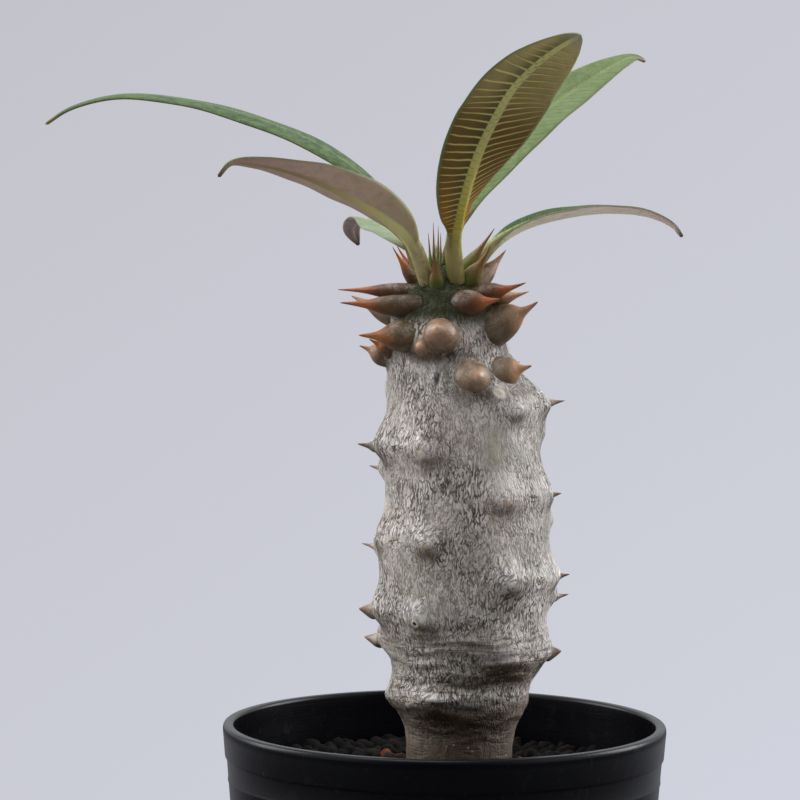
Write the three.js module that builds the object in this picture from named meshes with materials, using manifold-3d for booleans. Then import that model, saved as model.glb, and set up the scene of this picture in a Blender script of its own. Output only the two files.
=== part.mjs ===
// A young thick-stemmed succulent in a black nursery pot.
// Millimetres, +Z up, origin at the middle of the pot's base, the plant seen from -Y.

import * as THREE from 'three';
import { mergeVertices } from 'three/addons/utils/BufferGeometryUtils.js';
import Module from 'manifold-3d';

const wasm = await Module();
wasm.setup();

// Pot
const POT_HEIGHT = 80;
const POT_RIM_RADIUS = 45;
const POT_WALL_TAPER = 0.0795;
const POT_WALL = 1.6;
const POT_RIM_WALL = 2.3;
const POT_RIM_BAND = 6.3;
const POT_STEP = 0.35;
const POT_FLOOR = 2.4;
const POT_SIDES = 48;
const RIM_ROUND = 0.8;
const FLOOR_ROUND = 1.4;
const FOOT_WIDTH = 3.4;
const FOOT_RECESS = 0.9;
const FOOT_ROUND = 0.8;
const PAD_RADIUS = 12;
const DRAIN_COUNT = 6;
const DRAIN_RADIUS = 3.4;
const DRAIN_CIRCLE = 23;
const DRAIN_SIDES = 14;

// Clearance between two pieces that touch, and the shortest edge that a joined solid keeps
const GAP = 0.3;
const MODEL_TOLERANCE = 0.01;

// Soil
const SOIL_LEVEL = 70.0;
const GRAIN_SPACING = 4.6;
const GRAIN_RISE = 2.2;
const GRAIN_JITTER = 0.5;
const GRIT_DEPTH = 3;

// Plain hole in the soil that the stem's foot stands in: radius, height
const STEM_HOLE = [[0, 56], [8.9, 56.4], [10.7, 60.2], [11.1, 68], [11.3, 72.5], [11.5, 80], [0, 80]];

// Stem outline from foot to growing tip: height, sideways drift of the middle, radius
const STEM_OUTLINE = [
  [57.0, 2.9, 8.4],
  [61.0, 2.9, 10.2],
  [68.0, 2.9, 10.6],
  [76.5, 3.1, 10.9],
  [80.0, 3.3, 11.4],
  [82.6, 3.2, 13.0],
  [85.4, 3.2, 14.0],
  [88.0, 3.4, 13.4],
  [92.0, 4.0, 14.4],
  [97.0, 3.8, 15.6],
  [103.0, 3.8, 16.5],
  [109.0, 4.1, 17.2],
  [114.0, 3.5, 17.1],
  [120.0, 4.0, 16.7],
  [126.0, 3.8, 16.0],
  [132.0, 3.2, 15.8],
  [138.0, 2.9, 15.7],
  [143.0, 3.3, 15.5],
  [147.5, 2.8, 14.3],
  [152.0, 0.9, 12.8],
  [157.0, -0.3, 11.6],
  [162.0, -0.4, 10.6],
  [166.0, -0.5, 8.8],
  [168.6, -0.7, 6.8],
  [170.8, -0.9, 5.0],
  [172.6, -1.1, 2.8],
];
const STEM_SIDES = 30;
const STEM_RING_STEP = 2.9;

// Leaf scars, each between two spines: height, azimuth, length of the clockwise and of the other spine, and
// the spines' thickness.
// Azimuth runs anticlockwise seen from above, with 0 at +X and 270 towards the viewer.
// They climb the stem in four rows, a new one every few millimetres.
const SCARS = [
  [136.6, 219, 3.0, 0.9, 2.6],
  [118.2, 218, 0.4, 0.9, 2.3],
  [103.2, 214, 2.4, 0.0, 3.6],
  [86.3, 219, 0.0, 0.0, 2.3],
  [145.2, 337, 0.0, 3.0, 2.3],
  [127.0, 322, 0.9, 1.5, 2.3],
  [110.6, 324, 0.9, 1.8, 2.3],
  [94.8, 328, 0.9, 2.0, 3.6],
  [139.0, 40, 0.0, 2.2, 2.3],
  [121.7, 38, 0.0, 2.6, 2.3],
  [105.4, 40, 2.6, 1.8, 2.3],
  [90.5, 42, 0.0, 1.8, 2.6],
  [147.2, 132, 2.6, 0.0, 2.3],
  [131.2, 130, 2.2, 2.4, 2.0],
  [115.1, 130, 2.4, 3.0, 2.0],
  [96.2, 137, 1.8, 3.0, 3.6],
];
const SCAR_HALF_ANGLE = 26;
const SCAR_RIDGE = 0.9;
const TUBERCLE_RISE = 2.3;
const TUBERCLE_WIDTH = 4.2;
const SPINE_TIP_RADIUS = 0.16;

// Thorned tubercles of the crown:
// height, azimuth, length, thickness, climb angle, sideways turn, upward bend, distance of the root from
// the stem's middle
const CROWN = [
  [150.3, 285, 6.6, 7.6, 10, 0, 0.0, 10.6],
  [151.0, 313, 9.4, 7.6, 7, 24, 1.0, 10.0],
  [154.0, 184, 7.8, 5.0, 14, 0, 0.6, 10.8],
  [155.0, 200, 7.0, 4.2, 20, -6, 0.6, 10.4],
  [156.4, 247, 4.8, 4.6, 6, 0, 0.3, 10.0],
  [158.0, 266, 8.2, 7.8, 16, -6, 0.6, 9.2],
  [158.7, 236, 12.4, 6.4, -1, -46, 0.4, 9.4],
  [159.4, 330, 14.0, 8.4, 17, 6, 2.4, 7.6],
  [161.8, 160, 12.6, 5.6, 16, 0, 1.0, 8.6],
  [164.4, 236, 17.2, 5.2, 2, -56, 0.2, 7.2],
  [165.0, 286, 11.0, 6.0, 3, 38, 0.8, 6.8],
  [165.4, 341, 10.6, 4.4, 6, 0, 1.2, 7.2],
  [167.2, 212, 17.2, 3.8, 3, -32, -0.4, 5.2],
  [166.6, 322, 14.4, 4.8, 4, 4, 2.0, 5.2],
  [152.0, 28, 5.2, 6.0, 4, 0, 0.6, 10.6],
  [152.8, 64, 7.4, 6.8, 8, 0, 0.6, 10.4],
  [152.2, 108, 7.8, 6.6, 4, 0, 0.8, 10.4],
  [154.4, 148, 7.0, 5.6, 10, 0, 0.6, 10.2],
  [159.0, 14, 8.2, 6.4, 12, 0, 1.2, 8.4],
  [159.4, 50, 10.0, 6.6, 12, 0, 1.2, 8.2],
  [158.6, 86, 9.6, 6.8, 10, 0, 1.0, 8.2],
  [159.2, 125, 10.2, 6.4, 12, 0, 1.2, 8.2],
  [165.8, 28, 10.4, 4.6, 8, 0, 1.0, 6.0],
  [165.4, 66, 12.0, 4.8, 12, 0, 1.2, 5.8],
  [166.0, 104, 11.6, 4.6, 14, 0, 1.4, 5.8],
  [165.2, 140, 11.4, 4.4, 8, 0, 0.8, 5.8],
];

// Upright thorns of the green growing tip, same measures
const TIP_THORNS = [
  [168.0, 18, 10.8, 4.6, 42, 0, 0.8, 5.6],
  [168.6, 350, 14.6, 3.0, 50, 0, 0.8, 1.4],
  [166.8, 322, 12.6, 4.4, 46, 0, 1.4, 3.6],
  [166.8, 196, 11.6, 3.0, 54, 0, 0.4, 4.6],
  [167.4, 152, 11.4, 2.8, 52, 0, 0.4, 4.4],
  [166.4, 254, 10.0, 3.6, 62, 0, 0.4, 4.7],
  [167.4, 100, 11.2, 3.0, 54, 0, 0.6, 4.2],
  [167.6, 44, 11.4, 3.0, 50, 0, 0.6, 4.2],
];

// Young thorns that stand round the growing point: sideways, towards the viewer, length, lean
const YOUNG_THORNS = [
  [-3.3, -1.7, 8.4, -0.10],
  [-2.7, -0.6, 10.6, -0.04],
  [-1.9, 0.5, 9.8, -0.02],
  [-1.4, -1.3, 8.4, -0.03],
];
const YOUNG_THORN_ROOT = 171.0;
const YOUNG_THORN_THICKNESS = 1.5;

// Leaves: the line of the midrib from the petiole's foot to the tip, which way the upper face looks at the
// foot and at the tip, the blade's half width, how far out it is widest, how full its ends are, where it
// begins, how far the halves fold up at the foot and at the tip, how much the edges wave, and the
// petiole's radius
const LEAVES = [
  {
    line: [[1.8, -4.6, 169.0], [0.9, -8.0, 176.6], [1.7, -12.5, 181.4], [2.3, -18.8, 184.7],
      [3.5, -26.2, 189.9], [5.6, -32.7, 196.3], [8.7, -37.7, 202.8], [11.8, -43.8, 207.7],
      [16.7, -47.1, 212.4], [21.3, -51.0, 215.4], [23.4, -52.7, 216.3]],
    faceFoot: [-0.69, 0.62, 0.37],
    faceTip: [-0.07, 0.72, 0.69],
    halfWidth: 8.4,
    widest: 1.3,
    fullness: 0.57,
    bladeStart: 0.11,
    foldFoot: 0.15,
    foldTip: -0.3,
    wave: 0.05,
    stalk: 1.75,
  },
  {
    line: [[-4.0, -3.9, 168.6], [-7.0, -8.4, 176.6], [-12.6, -14.6, 181.8], [-19.4, -20.6, 186.0],
      [-28.2, -26.6, 190.2], [-36.6, -31.0, 192.4], [-42.0, -33.4, 192.4], [-44.4, -34.4, 189.8]],
    faceFoot: [0.35, 0.8, 0.45],
    faceTip: [-0.1, 0.25, 1.0],
    halfWidth: 5.9,
    widest: 0.9,
    fullness: 0.72,
    bladeStart: 0.14,
    foldFoot: 0.55,
    foldTip: 0.06,
    wave: 0.12,
    stalk: 1.6,
  },
  {
    line: [[3.9, 1.0, 169.2], [8.2, 2.0, 176.0], [14.6, 3.6, 180.4], [23.4, 5.6, 183.0],
      [32.6, 6.8, 184.0], [40.6, 7.4, 183.2], [45.6, 7.6, 181.0], [47.8, 7.8, 178.6]],
    faceFoot: [-0.5, -0.2, 0.85],
    faceTip: [0.2, 0.06, 1.0],
    halfWidth: 4.9,
    widest: 0.9,
    fullness: 0.72,
    bladeStart: 0.15,
    foldFoot: 0.28,
    foldTip: 0.16,
    wave: 0.1,
    stalk: 1.35,
  },
  {
    line: [[-5.2, 0.6, 168.8], [-8.2, 2.4, 178.0], [-14.6, 4.6, 188.0], [-24.2, 7.4, 195.6],
      [-39.4, 9.2, 202.2], [-54.6, 10.0, 205.9], [-67.1, 10.0, 206.6], [-77.0, 10.0, 204.0],
      [-82.2, 10.0, 200.6]],
    faceFoot: [0.6, -0.3, 0.7],
    faceTip: [0.0, -0.1, 1.0],
    halfWidth: 6.6,
    widest: 0.9,
    fullness: 0.72,
    bladeStart: 0.13,
    foldFoot: -0.1,
    foldTip: -0.1,
    wave: 0.12,
    stalk: 1.35,
  },
  {
    line: [[-3.4, 4.2, 169.0], [-6.2, 9.2, 174.4], [-9.2, 17.0, 177.4], [-12.2, 27.0, 179.6],
      [-14.8, 36.0, 181.1], [-18.4, 42.0, 181.2], [-20.0, 45.4, 179.4], [-18.6, 46.2, 175.9]],
    faceFoot: [0.2, -0.6, 0.75],
    faceTip: [-0.3, 0.55, 0.7],
    halfWidth: 5.2,
    widest: 0.9,
    fullness: 0.72,
    bladeStart: 0.2,
    foldFoot: 0.12,
    foldTip: 0.12,
    wave: 0.15,
    stalk: 1.2,
  },
  {
    line: [[0.9, 4.8, 169.0], [0.9, 8.6, 176.4], [3.4, 15.0, 185.0], [9.2, 23.0, 193.4],
      [15.8, 30.0, 200.7], [23.4, 37.0, 206.7], [31.0, 43.0, 211.8], [36.6, 47.0, 215.2],
      [40.8, 50.0, 216.8], [43.2, 51.0, 216.0]],
    faceFoot: [-0.4, -0.65, 0.6],
    faceTip: [-0.2, -0.45, 0.85],
    halfWidth: 8.3,
    widest: 0.9,
    fullness: 0.72,
    bladeStart: 0.14,
    foldFoot: 0.14,
    foldTip: 0.14,
    wave: 0.12,
    stalk: 1.3,
  },
];
const LEAF_STEPS = 18;
const BLADE_HALF_THICK = 0.35;
const RIB_DEPTH = 0.85;
const SOCKET_REACH = 0.16;

// Colours and finishes
const finishes = {
  pot: { color: 0x16181c, roughness: 0.42, metalness: 0 },
  soil: { color: 0x2a1c16, roughness: 0.95, metalness: 0 },
  stem: { color: 0xa8a29a, roughness: 0.7, metalness: 0 },
  leaf: { color: 0x4d7a48, roughness: 0.45, metalness: 0 },
};

// Repeatable random draw between 0 and 1
function randomSource(seed) {
  let state = seed;
  return () => {
    state = (state * 1664525 + 1013904223) % 4294967296;
    return state / 4294967296;
  };
}

function smooth(low, high, value) {
  return THREE.MathUtils.smoothstep(value, low, high);
}

function direction(azimuth, climb) {
  const turn = THREE.MathUtils.degToRad(azimuth);
  const rise = THREE.MathUtils.degToRad(climb);
  const level = Math.cos(rise);
  return new THREE.Vector3(Math.cos(turn) * level, Math.sin(turn) * level, Math.sin(rise));
}

// Closed skin through rings of points, each ring anticlockwise seen from the end it leads to.
// mirrored(j) turns the diagonal of the facets between points j and j + 1.
function loft(rings, mirrored = () => false) {
  const count = rings[0].length;
  const points = rings.flat();
  const faces = [];
  for (let k = 0; k < rings.length - 1; k += 1) {
    for (let j = 0; j < count; j += 1) {
      const a = k * count + j;
      const b = k * count + (j + 1) % count;
      const c = b + count;
      const d = a + count;
      if (mirrored(j)) {
        faces.push(a, b, d, b, c, d);
      } else {
        faces.push(a, b, c, a, c, d);
      }
    }
  }
  closeEnd(points, faces, 0, count, true);
  closeEnd(points, faces, (rings.length - 1) * count, count, false);
  const geometry = new THREE.BufferGeometry();
  const places = points.flatMap((p) => p.toArray());
  geometry.setAttribute('position', new THREE.Float32BufferAttribute(places, 3));
  geometry.setIndex(faces);
  return geometry;
}

function closeEnd(points, faces, first, count, isStart) {
  const middle = new THREE.Vector3();
  for (let j = 0; j < count; j += 1) {
    middle.addScaledVector(points[first + j], 1 / count);
  }
  const hub = points.push(middle) - 1;
  for (let j = 0; j < count; j += 1) {
    const here = first + j;
    const next = first + (j + 1) % count;
    faces.push(hub, isStart ? next : here, isStart ? here : next);
  }
}

function asSolid(geometry) {
  const bare = geometry.clone();
  bare.deleteAttribute('normal');
  bare.deleteAttribute('uv');
  const merged = mergeVertices(bare, 1e-5);
  return new wasm.Manifold(new wasm.Mesh({
    numProp: 3,
    tolerance: MODEL_TOLERANCE,
    vertProperties: new Float32Array(merged.attributes.position.array),
    triVerts: new Uint32Array(merged.index.array),
  }));
}

// The largest skin of a joined solid: hollows sealed between its pieces are filled, loose crumbs dropped
function outerSkin(solid) {
  const mesh = solid.getMesh();
  const owner = Array.from({ length: mesh.numVert }, (_, index) => index);
  const rootOf = (index) => {
    let root = index;
    while (owner[root] !== root) {
      owner[root] = owner[owner[root]];
      root = owner[root];
    }
    return root;
  };
  const corners = mesh.triVerts;
  for (let k = 0; k < corners.length; k += 3) {
    owner[rootOf(corners[k + 1])] = rootOf(corners[k]);
    owner[rootOf(corners[k + 2])] = rootOf(corners[k]);
  }
  const faceCount = new Map();
  for (let k = 0; k < corners.length; k += 3) {
    const root = rootOf(corners[k]);
    faceCount.set(root, (faceCount.get(root) ?? 0) + 1);
  }
  const largest = [...faceCount].reduce((best, entry) => (entry[1] > best[1] ? entry : best))[0];
  const kept = [];
  for (let k = 0; k < corners.length; k += 3) {
    if (rootOf(corners[k]) === largest) {
      kept.push(corners[k], corners[k + 1], corners[k + 2]);
    }
  }
  const geometry = new THREE.BufferGeometry();
  geometry.setAttribute('position', new THREE.BufferAttribute(new Float32Array(mesh.vertProperties), 3));
  geometry.setIndex(kept);
  return geometry;
}

// Solid of revolution about Z from an outline of [radius, height] that starts and ends on the axis
function turned(outline, sides) {
  const geometry = new THREE.LatheGeometry(outline.map(([r, z]) => new THREE.Vector2(r, z)), sides);
  geometry.rotateX(Math.PI / 2);
  return geometry;
}

function namedMesh(name, geometry, finish) {
  const mesh = new THREE.Mesh(geometry, new THREE.MeshStandardMaterial(finish));
  mesh.name = name;
  return mesh;
}

// Outer radius of the pot's wall below the rim band
function wallRadius(z) {
  const bandFoot = POT_HEIGHT - POT_RIM_BAND;
  const underBand = POT_RIM_RADIUS - POT_RIM_BAND * POT_WALL_TAPER - POT_STEP;
  return underBand - (bandFoot - z) * POT_WALL_TAPER;
}

function innerRadius(z) {
  return wallRadius(z) - POT_WALL;
}

function potGeometry() {
  const footRadius = wallRadius(0);
  const bandFoot = POT_HEIGHT - POT_RIM_BAND;
  const bandRadius = POT_RIM_RADIUS - POT_RIM_BAND * POT_WALL_TAPER;
  const rimInside = POT_RIM_RADIUS - POT_RIM_WALL;
  const outline = [
    [0, 0],
    [PAD_RADIUS, 0],
    [PAD_RADIUS + FOOT_RECESS, FOOT_RECESS],
    [footRadius - FOOT_WIDTH - FOOT_RECESS, FOOT_RECESS],
    [footRadius - FOOT_WIDTH, 0],
    [footRadius - FOOT_ROUND, 0],
    [footRadius, FOOT_ROUND],
    [wallRadius(bandFoot - 2 * POT_STEP), bandFoot - 2 * POT_STEP],
    [bandRadius, bandFoot],
    [POT_RIM_RADIUS - 0.1 * RIM_ROUND, POT_HEIGHT - 1.7 * RIM_ROUND],
    [POT_RIM_RADIUS - 0.4 * RIM_ROUND, POT_HEIGHT - 0.6 * RIM_ROUND],
    [POT_RIM_RADIUS - RIM_ROUND, POT_HEIGHT - 0.06 * RIM_ROUND],
    [rimInside + RIM_ROUND, POT_HEIGHT],
    [rimInside + 0.25 * RIM_ROUND, POT_HEIGHT - 0.6 * RIM_ROUND],
    [rimInside, POT_HEIGHT - 1.6 * RIM_ROUND],
    [innerRadius(bandFoot), bandFoot],
    [innerRadius(POT_FLOOR + FLOOR_ROUND), POT_FLOOR + FLOOR_ROUND],
    [innerRadius(POT_FLOOR) - FLOOR_ROUND, POT_FLOOR],
    [0, POT_FLOOR],
  ];
  let pot = asSolid(turned(outline, POT_SIDES));
  for (let k = 0; k < DRAIN_COUNT; k += 1) {
    const drain = new THREE.CylinderGeometry(DRAIN_RADIUS, DRAIN_RADIUS, 4 * POT_FLOOR, DRAIN_SIDES);
    drain.rotateX(Math.PI / 2);
    drain.translate(DRAIN_CIRCLE, 0, POT_FLOOR);
    drain.rotateZ((k * 2 * Math.PI) / DRAIN_COUNT);
    pot = pot.subtract(asSolid(drain));
  }
  return outerSkin(pot);
}

// The stem's middle and radius at a height, read off its outline
function stemAt(z) {
  const last = STEM_OUTLINE.length - 1;
  let k = 0;
  while (k < last - 1 && STEM_OUTLINE[k + 1][0] < z) {
    k += 1;
  }
  const [z0, x0, r0] = STEM_OUTLINE[k];
  const [z1, x1, r1] = STEM_OUTLINE[k + 1];
  const part = THREE.MathUtils.clamp((z - z0) / (z1 - z0), 0, 1);
  return { x: x0 + (x1 - x0) * part, radius: r0 + (r1 - r0) * part };
}

function angleBetween(a, b) {
  return ((a - b + 540) % 360) - 180;
}

// A swelling with a long upper slope and a short underside
function swelling(across, up, width) {
  const tall = up > 0 ? 1.15 : 0.75;
  return Math.exp(-((across / width) ** 2) - (up / (width * tall)) ** 2);
}

function stemSkinRadius(azimuth, z) {
  const { radius } = stemAt(z);
  const arc = THREE.MathUtils.degToRad(radius);
  let swell = 0;
  for (const [height, turn, firstSpine, secondSpine] of SCARS) {
    const up = z - height;
    if (Math.abs(up) < 3 * TUBERCLE_WIDTH) {
      const across = angleBetween(azimuth, turn) * arc;
      const offset = SCAR_HALF_ANGLE * arc;
      swell += SCAR_RIDGE * swelling(across / 2.4, up, TUBERCLE_WIDTH * 0.8);
      const rise = TUBERCLE_RISE * 0.55;
      swell += (rise + 0.32 * firstSpine) * swelling(across + offset, up, TUBERCLE_WIDTH * 0.8);
      swell += (rise + 0.32 * secondSpine) * swelling(across - offset, up, TUBERCLE_WIDTH * 0.8);
    }
  }
  return radius + swell * smooth(79, 84, z) * (1 - smooth(164, 168, z));
}

function stemSkin() {
  const heights = [57, 60.5, 68];
  const foot = 74.5;
  const top = STEM_OUTLINE[STEM_OUTLINE.length - 1][0];
  const rows = Math.round((top - foot) / STEM_RING_STEP);
  for (let k = 0; k <= rows; k += 1) {
    heights.push(foot + ((top - foot) * k) / rows);
  }
  const rings = heights.map((z) => {
    const ring = [];
    for (let j = 0; j < STEM_SIDES; j += 1) {
      const azimuth = (j * 360) / STEM_SIDES;
      const reach = direction(azimuth, 0).multiplyScalar(stemSkinRadius(azimuth, z));
      ring.push(reach.add(new THREE.Vector3(stemAt(z).x, 0, z)));
    }
    return ring;
  });
  return asSolid(loft(rings));
}

// A thorn from root to tip: a swollen body that narrows to a point, bent up at its end
function thorn(root, heading, length, thickness, bend, sides, waist = 0.62) {
  const side = new THREE.Vector3().crossVectors(heading, new THREE.Vector3(0, 0, 1)).normalize();
  const upright = new THREE.Vector3().crossVectors(side, heading).normalize();
  const girth = [[0, 0.9], [0.34, 1.0], [waist, 0.56], [0.8, 0.26], [1, 0]];
  const rings = girth.map(([along, share]) => {
    const middle = root.clone().addScaledVector(heading, along * length);
    middle.addScaledVector(upright, bend * along * along);
    const radius = Math.max((share * thickness) / 2, SPINE_TIP_RADIUS);
    const ring = [];
    for (let j = 0; j < sides; j += 1) {
      const turn = (j * 2 * Math.PI) / sides;
      const point = middle.clone().addScaledVector(side, Math.cos(turn) * radius);
      ring.push(point.addScaledVector(upright, -Math.sin(turn) * radius));
    }
    return ring;
  });
  return asSolid(loft(rings));
}

// The spines that stand on either side of each leaf scar
function scarSpines() {
  const spines = [];
  for (const [height, azimuth, firstLength, secondLength, thickness] of SCARS) {
    for (const [lean, length] of [[-1, firstLength], [1, secondLength]]) {
      if (length > 1) {
        const turn = azimuth + lean * SCAR_HALF_ANGLE;
        const skin = stemSkinRadius(turn, height);
        const heading = direction(turn, 4);
        const root = direction(turn, 0).multiplyScalar(skin - 1.6);
        root.add(new THREE.Vector3(stemAt(height).x, 0, height - 0.3));
        spines.push(thorn(root, heading, length + 1.6, thickness, 0.3, 4, 0.6));
      }
    }
  }
  return spines;
}

function crownThorns(table, sides) {
  return table.map(([height, azimuth, length, thickness, climb, turn, bend, out]) => {
    const root = direction(azimuth, 0).multiplyScalar(out);
    root.add(new THREE.Vector3(stemAt(height).x, 0, height));
    return thorn(root, direction(azimuth + turn, climb), length, thickness, bend, sides);
  });
}

function youngThorns() {
  return YOUNG_THORNS.map(([x, y, length, lean]) => {
    const root = new THREE.Vector3(x, y, YOUNG_THORN_ROOT);
    const heading = new THREE.Vector3(lean, -0.02, 1).normalize();
    return thorn(root, heading, length, YOUNG_THORN_THICKNESS, 0.1, 5);
  });
}

// How far along the leaf the round petiole has turned into blade
function bladeShare(leaf, along) {
  return smooth(leaf.bladeStart * 0.75, leaf.bladeStart * 1.9, along);
}

function leafHalfWidth(leaf, along) {
  const blade = THREE.MathUtils.clamp((along - leaf.bladeStart) / (1 - leaf.bladeStart), 0, 1);
  const lance = Math.sin(Math.PI * blade ** leaf.widest) ** leaf.fullness;
  return Math.max(leaf.halfWidth * lance, leaf.stalk * (1 - smooth(0.6, 1.0, along)), 0.45);
}

// Frame of the leaf at a point: along the midrib, across the blade and out of its upper face
function leafFrame(leaf, curve, along) {
  const place = curve.getPointAt(along);
  const ahead = curve.getTangentAt(along);
  const foot = new THREE.Vector3(...leaf.faceFoot);
  const hint = foot.lerp(new THREE.Vector3(...leaf.faceTip), smooth(0, 0.9, along)).normalize();
  const face = hint.addScaledVector(ahead, -hint.dot(ahead)).normalize();
  const across = new THREE.Vector3().crossVectors(face, ahead);
  return { place, across, face };
}

function leafRing(leaf, curve, along) {
  const { place, across, face } = leafFrame(leaf, curve, along);
  const share = bladeShare(leaf, along);
  const fold = THREE.MathUtils.lerp(leaf.foldFoot, leaf.foldTip, smooth(0.2, 0.9, along));
  const width = leafHalfWidth(leaf, along);
  const rib = Math.min(leaf.stalk * (1 - 0.72 * along), 0.7 * width);
  const ribDepth = RIB_DEPTH * (1 - along) ** 0.6;
  const stops = [width, (width + rib) / 2, rib, 0, -rib, -(width + rib) / 2, -width];
  const petioleHalf = (u) => leaf.stalk * Math.sqrt(1 - 0.8 * (u / width) ** 2);
  const lift = (u) => {
    const edge = Math.abs(u) / leaf.halfWidth;
    const ripple = leaf.wave * edge ** 2 * Math.sin(along * 31 + (u > 0 ? 0 : 1.7));
    return share * (fold * Math.abs(u) + ripple);
  };
  const upper = (u) => lift(u) + THREE.MathUtils.lerp(petioleHalf(u), BLADE_HALF_THICK, share);
  const lower = (u) => {
    const ridge = ribDepth * Math.max(0, 1 - (u / rib) ** 2);
    return lift(u) - THREE.MathUtils.lerp(petioleHalf(u), BLADE_HALF_THICK + ridge, share);
  };
  const at = (u, v) => place.clone().addScaledVector(across, u).addScaledVector(face, v);
  const top = stops.map((u) => at(u, upper(u)));
  const bottom = stops.map((u) => at(u, lower(u))).reverse();
  return top.concat(bottom);
}

function leafCurve(leaf) {
  return new THREE.CatmullRomCurve3(leaf.line.map((p) => new THREE.Vector3(...p)), false, 'centripetal');
}

// Facets of the upper and lower face are split alike, so that the thin blade never crosses itself
function leafGeometry(leaf) {
  const curve = leafCurve(leaf);
  const rings = [];
  for (let k = 0; k <= LEAF_STEPS; k += 1) {
    rings.push(leafRing(leaf, curve, (k / LEAF_STEPS) ** 0.92));
  }
  const acrossCount = rings[0].length / 2;
  return loft(rings, (j) => j >= acrossCount - 1);
}

// The plain round socket in the growing tip that a petiole stands in
function petioleSocket(leaf) {
  const curve = leafCurve(leaf);
  const rings = [];
  for (const along of [0, SOCKET_REACH / 3, SOCKET_REACH / 1.5, SOCKET_REACH]) {
    const { place, across, face } = leafFrame(leaf, curve, along);
    const ring = [];
    if (along === 0) {
      place.addScaledVector(curve.getTangentAt(0), -GAP);
    }
    const radius = leaf.stalk + GAP + 0.15 + 2.2 * Math.max(0, along - 0.1);
    for (let j = 0; j < 10; j += 1) {
      const turn = (j * 2 * Math.PI) / 10;
      const point = place.clone().addScaledVector(across, Math.cos(turn) * radius);
      ring.push(point.addScaledVector(face, Math.sin(turn) * radius));
    }
    rings.push(ring);
  }
  return asSolid(loft(rings));
}

function stemGeometry() {
  let stem = stemSkin();
  const crown = [...crownThorns(CROWN, 6), ...crownThorns(TIP_THORNS, 5), ...youngThorns()];
  for (const part of [...scarSpines(), ...crown]) {
    stem = stem.add(part);
  }
  for (const leaf of LEAVES) {
    stem = stem.subtract(petioleSocket(leaf));
  }
  return outerSkin(stem);
}

// A square blanket of grit: every second point of its net is the top of a grain, the rest lie between
function gritBlanket() {
  const draw = randomSource(7);
  const step = GRAIN_SPACING / 2;
  const half = Math.ceil(POT_RIM_RADIUS / step);
  const span = 2 * half * step;
  const drawn = new Map();
  const blanket = new THREE.BoxGeometry(span, span, GRIT_DEPTH, 2 * half, 2 * half, 1);
  const places = blanket.attributes.position;
  for (let k = 0; k < places.count; k += 1) {
    const column = Math.round(places.getX(k) / step) + half;
    const row = Math.round(places.getY(k) / step) + half;
    const key = column + row * 1000;
    if (!drawn.has(key)) {
      drawn.set(key, [draw(), draw(), draw()]);
    }
    if (places.getZ(k) > 0) {
      const [first, second, third] = drawn.get(key);
      const isTop = column % 2 === 0 && row % 2 === 0;
      const rise = isTop ? GRAIN_RISE * (0.6 + 0.4 * first) : GRAIN_RISE * 0.3 * first;
      const sideways = (row % 4 < 2 ? 0.25 : -0.25) * GRAIN_SPACING + GRAIN_JITTER * (second - 0.5) * step;
      places.setX(k, places.getX(k) + sideways);
      places.setY(k, places.getY(k) + GRAIN_JITTER * (third - 0.5) * step);
      places.setZ(k, places.getZ(k) + rise);
    }
  }
  blanket.translate(0, 0, SOIL_LEVEL - GRIT_DEPTH / 2);
  return asSolid(blanket);
}

// The root ball's grit: it fills the pot, has a coarse top and a plain hole that the stem stands in
function soilGeometry() {
  const side = (z) => [innerRadius(z) - GAP, z];
  const footEdge = [innerRadius(POT_FLOOR) - FLOOR_ROUND - 2 * GAP, POT_FLOOR + GAP];
  const base = [[0, POT_FLOOR + GAP], footEdge, side(POT_FLOOR + FLOOR_ROUND + 2 * GAP)];
  const bedTop = SOIL_LEVEL - 1;
  const bed = turned([...base, side(bedTop), [0, bedTop]], POT_SIDES);
  const low = SOIL_LEVEL - GRIT_DEPTH - 1;
  const reach = turned([[0, low], side(low), side(POT_HEIGHT - 1), [0, POT_HEIGHT - 1]], POT_SIDES);
  const socket = turned(STEM_HOLE, STEM_SIDES);
  socket.translate(stemAt(SOIL_LEVEL).x, 0, 0);
  const grit = gritBlanket().intersect(asSolid(reach));
  return outerSkin(asSolid(bed).add(grit).subtract(asSolid(socket)));
}

const plant = new THREE.Group();
plant.add(namedMesh('pot', potGeometry(), finishes.pot));
plant.add(namedMesh('soil', soilGeometry(), finishes.soil));
plant.add(namedMesh('stem', stemGeometry(), finishes.stem));
LEAVES.forEach((leaf, index) => {
  plant.add(namedMesh(`leaf_${index + 1}`, leafGeometry(leaf), finishes.leaf));
});

export default plant;
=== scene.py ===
import math
import random

import bpy
import numpy as np
from mathutils import Matrix, Vector, noise


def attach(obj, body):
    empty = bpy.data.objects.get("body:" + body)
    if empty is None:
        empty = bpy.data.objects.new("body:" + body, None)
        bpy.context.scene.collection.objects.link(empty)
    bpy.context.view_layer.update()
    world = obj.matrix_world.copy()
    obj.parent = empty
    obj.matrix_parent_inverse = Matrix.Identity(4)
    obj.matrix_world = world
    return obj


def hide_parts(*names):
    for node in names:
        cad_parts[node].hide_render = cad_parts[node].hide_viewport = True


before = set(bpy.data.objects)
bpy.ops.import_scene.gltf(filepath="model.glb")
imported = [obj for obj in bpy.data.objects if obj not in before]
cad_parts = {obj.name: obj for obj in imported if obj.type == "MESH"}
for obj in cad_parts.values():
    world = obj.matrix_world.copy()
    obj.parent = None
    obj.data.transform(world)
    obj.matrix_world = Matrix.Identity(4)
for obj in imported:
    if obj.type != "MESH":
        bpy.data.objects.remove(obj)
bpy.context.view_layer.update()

# Sizes below are in millimetres and angles in degrees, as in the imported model.
# Azimuth runs anticlockwise seen from above, with 0 at +X and 270 towards the photograph's viewer.
MM = 0.001

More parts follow.
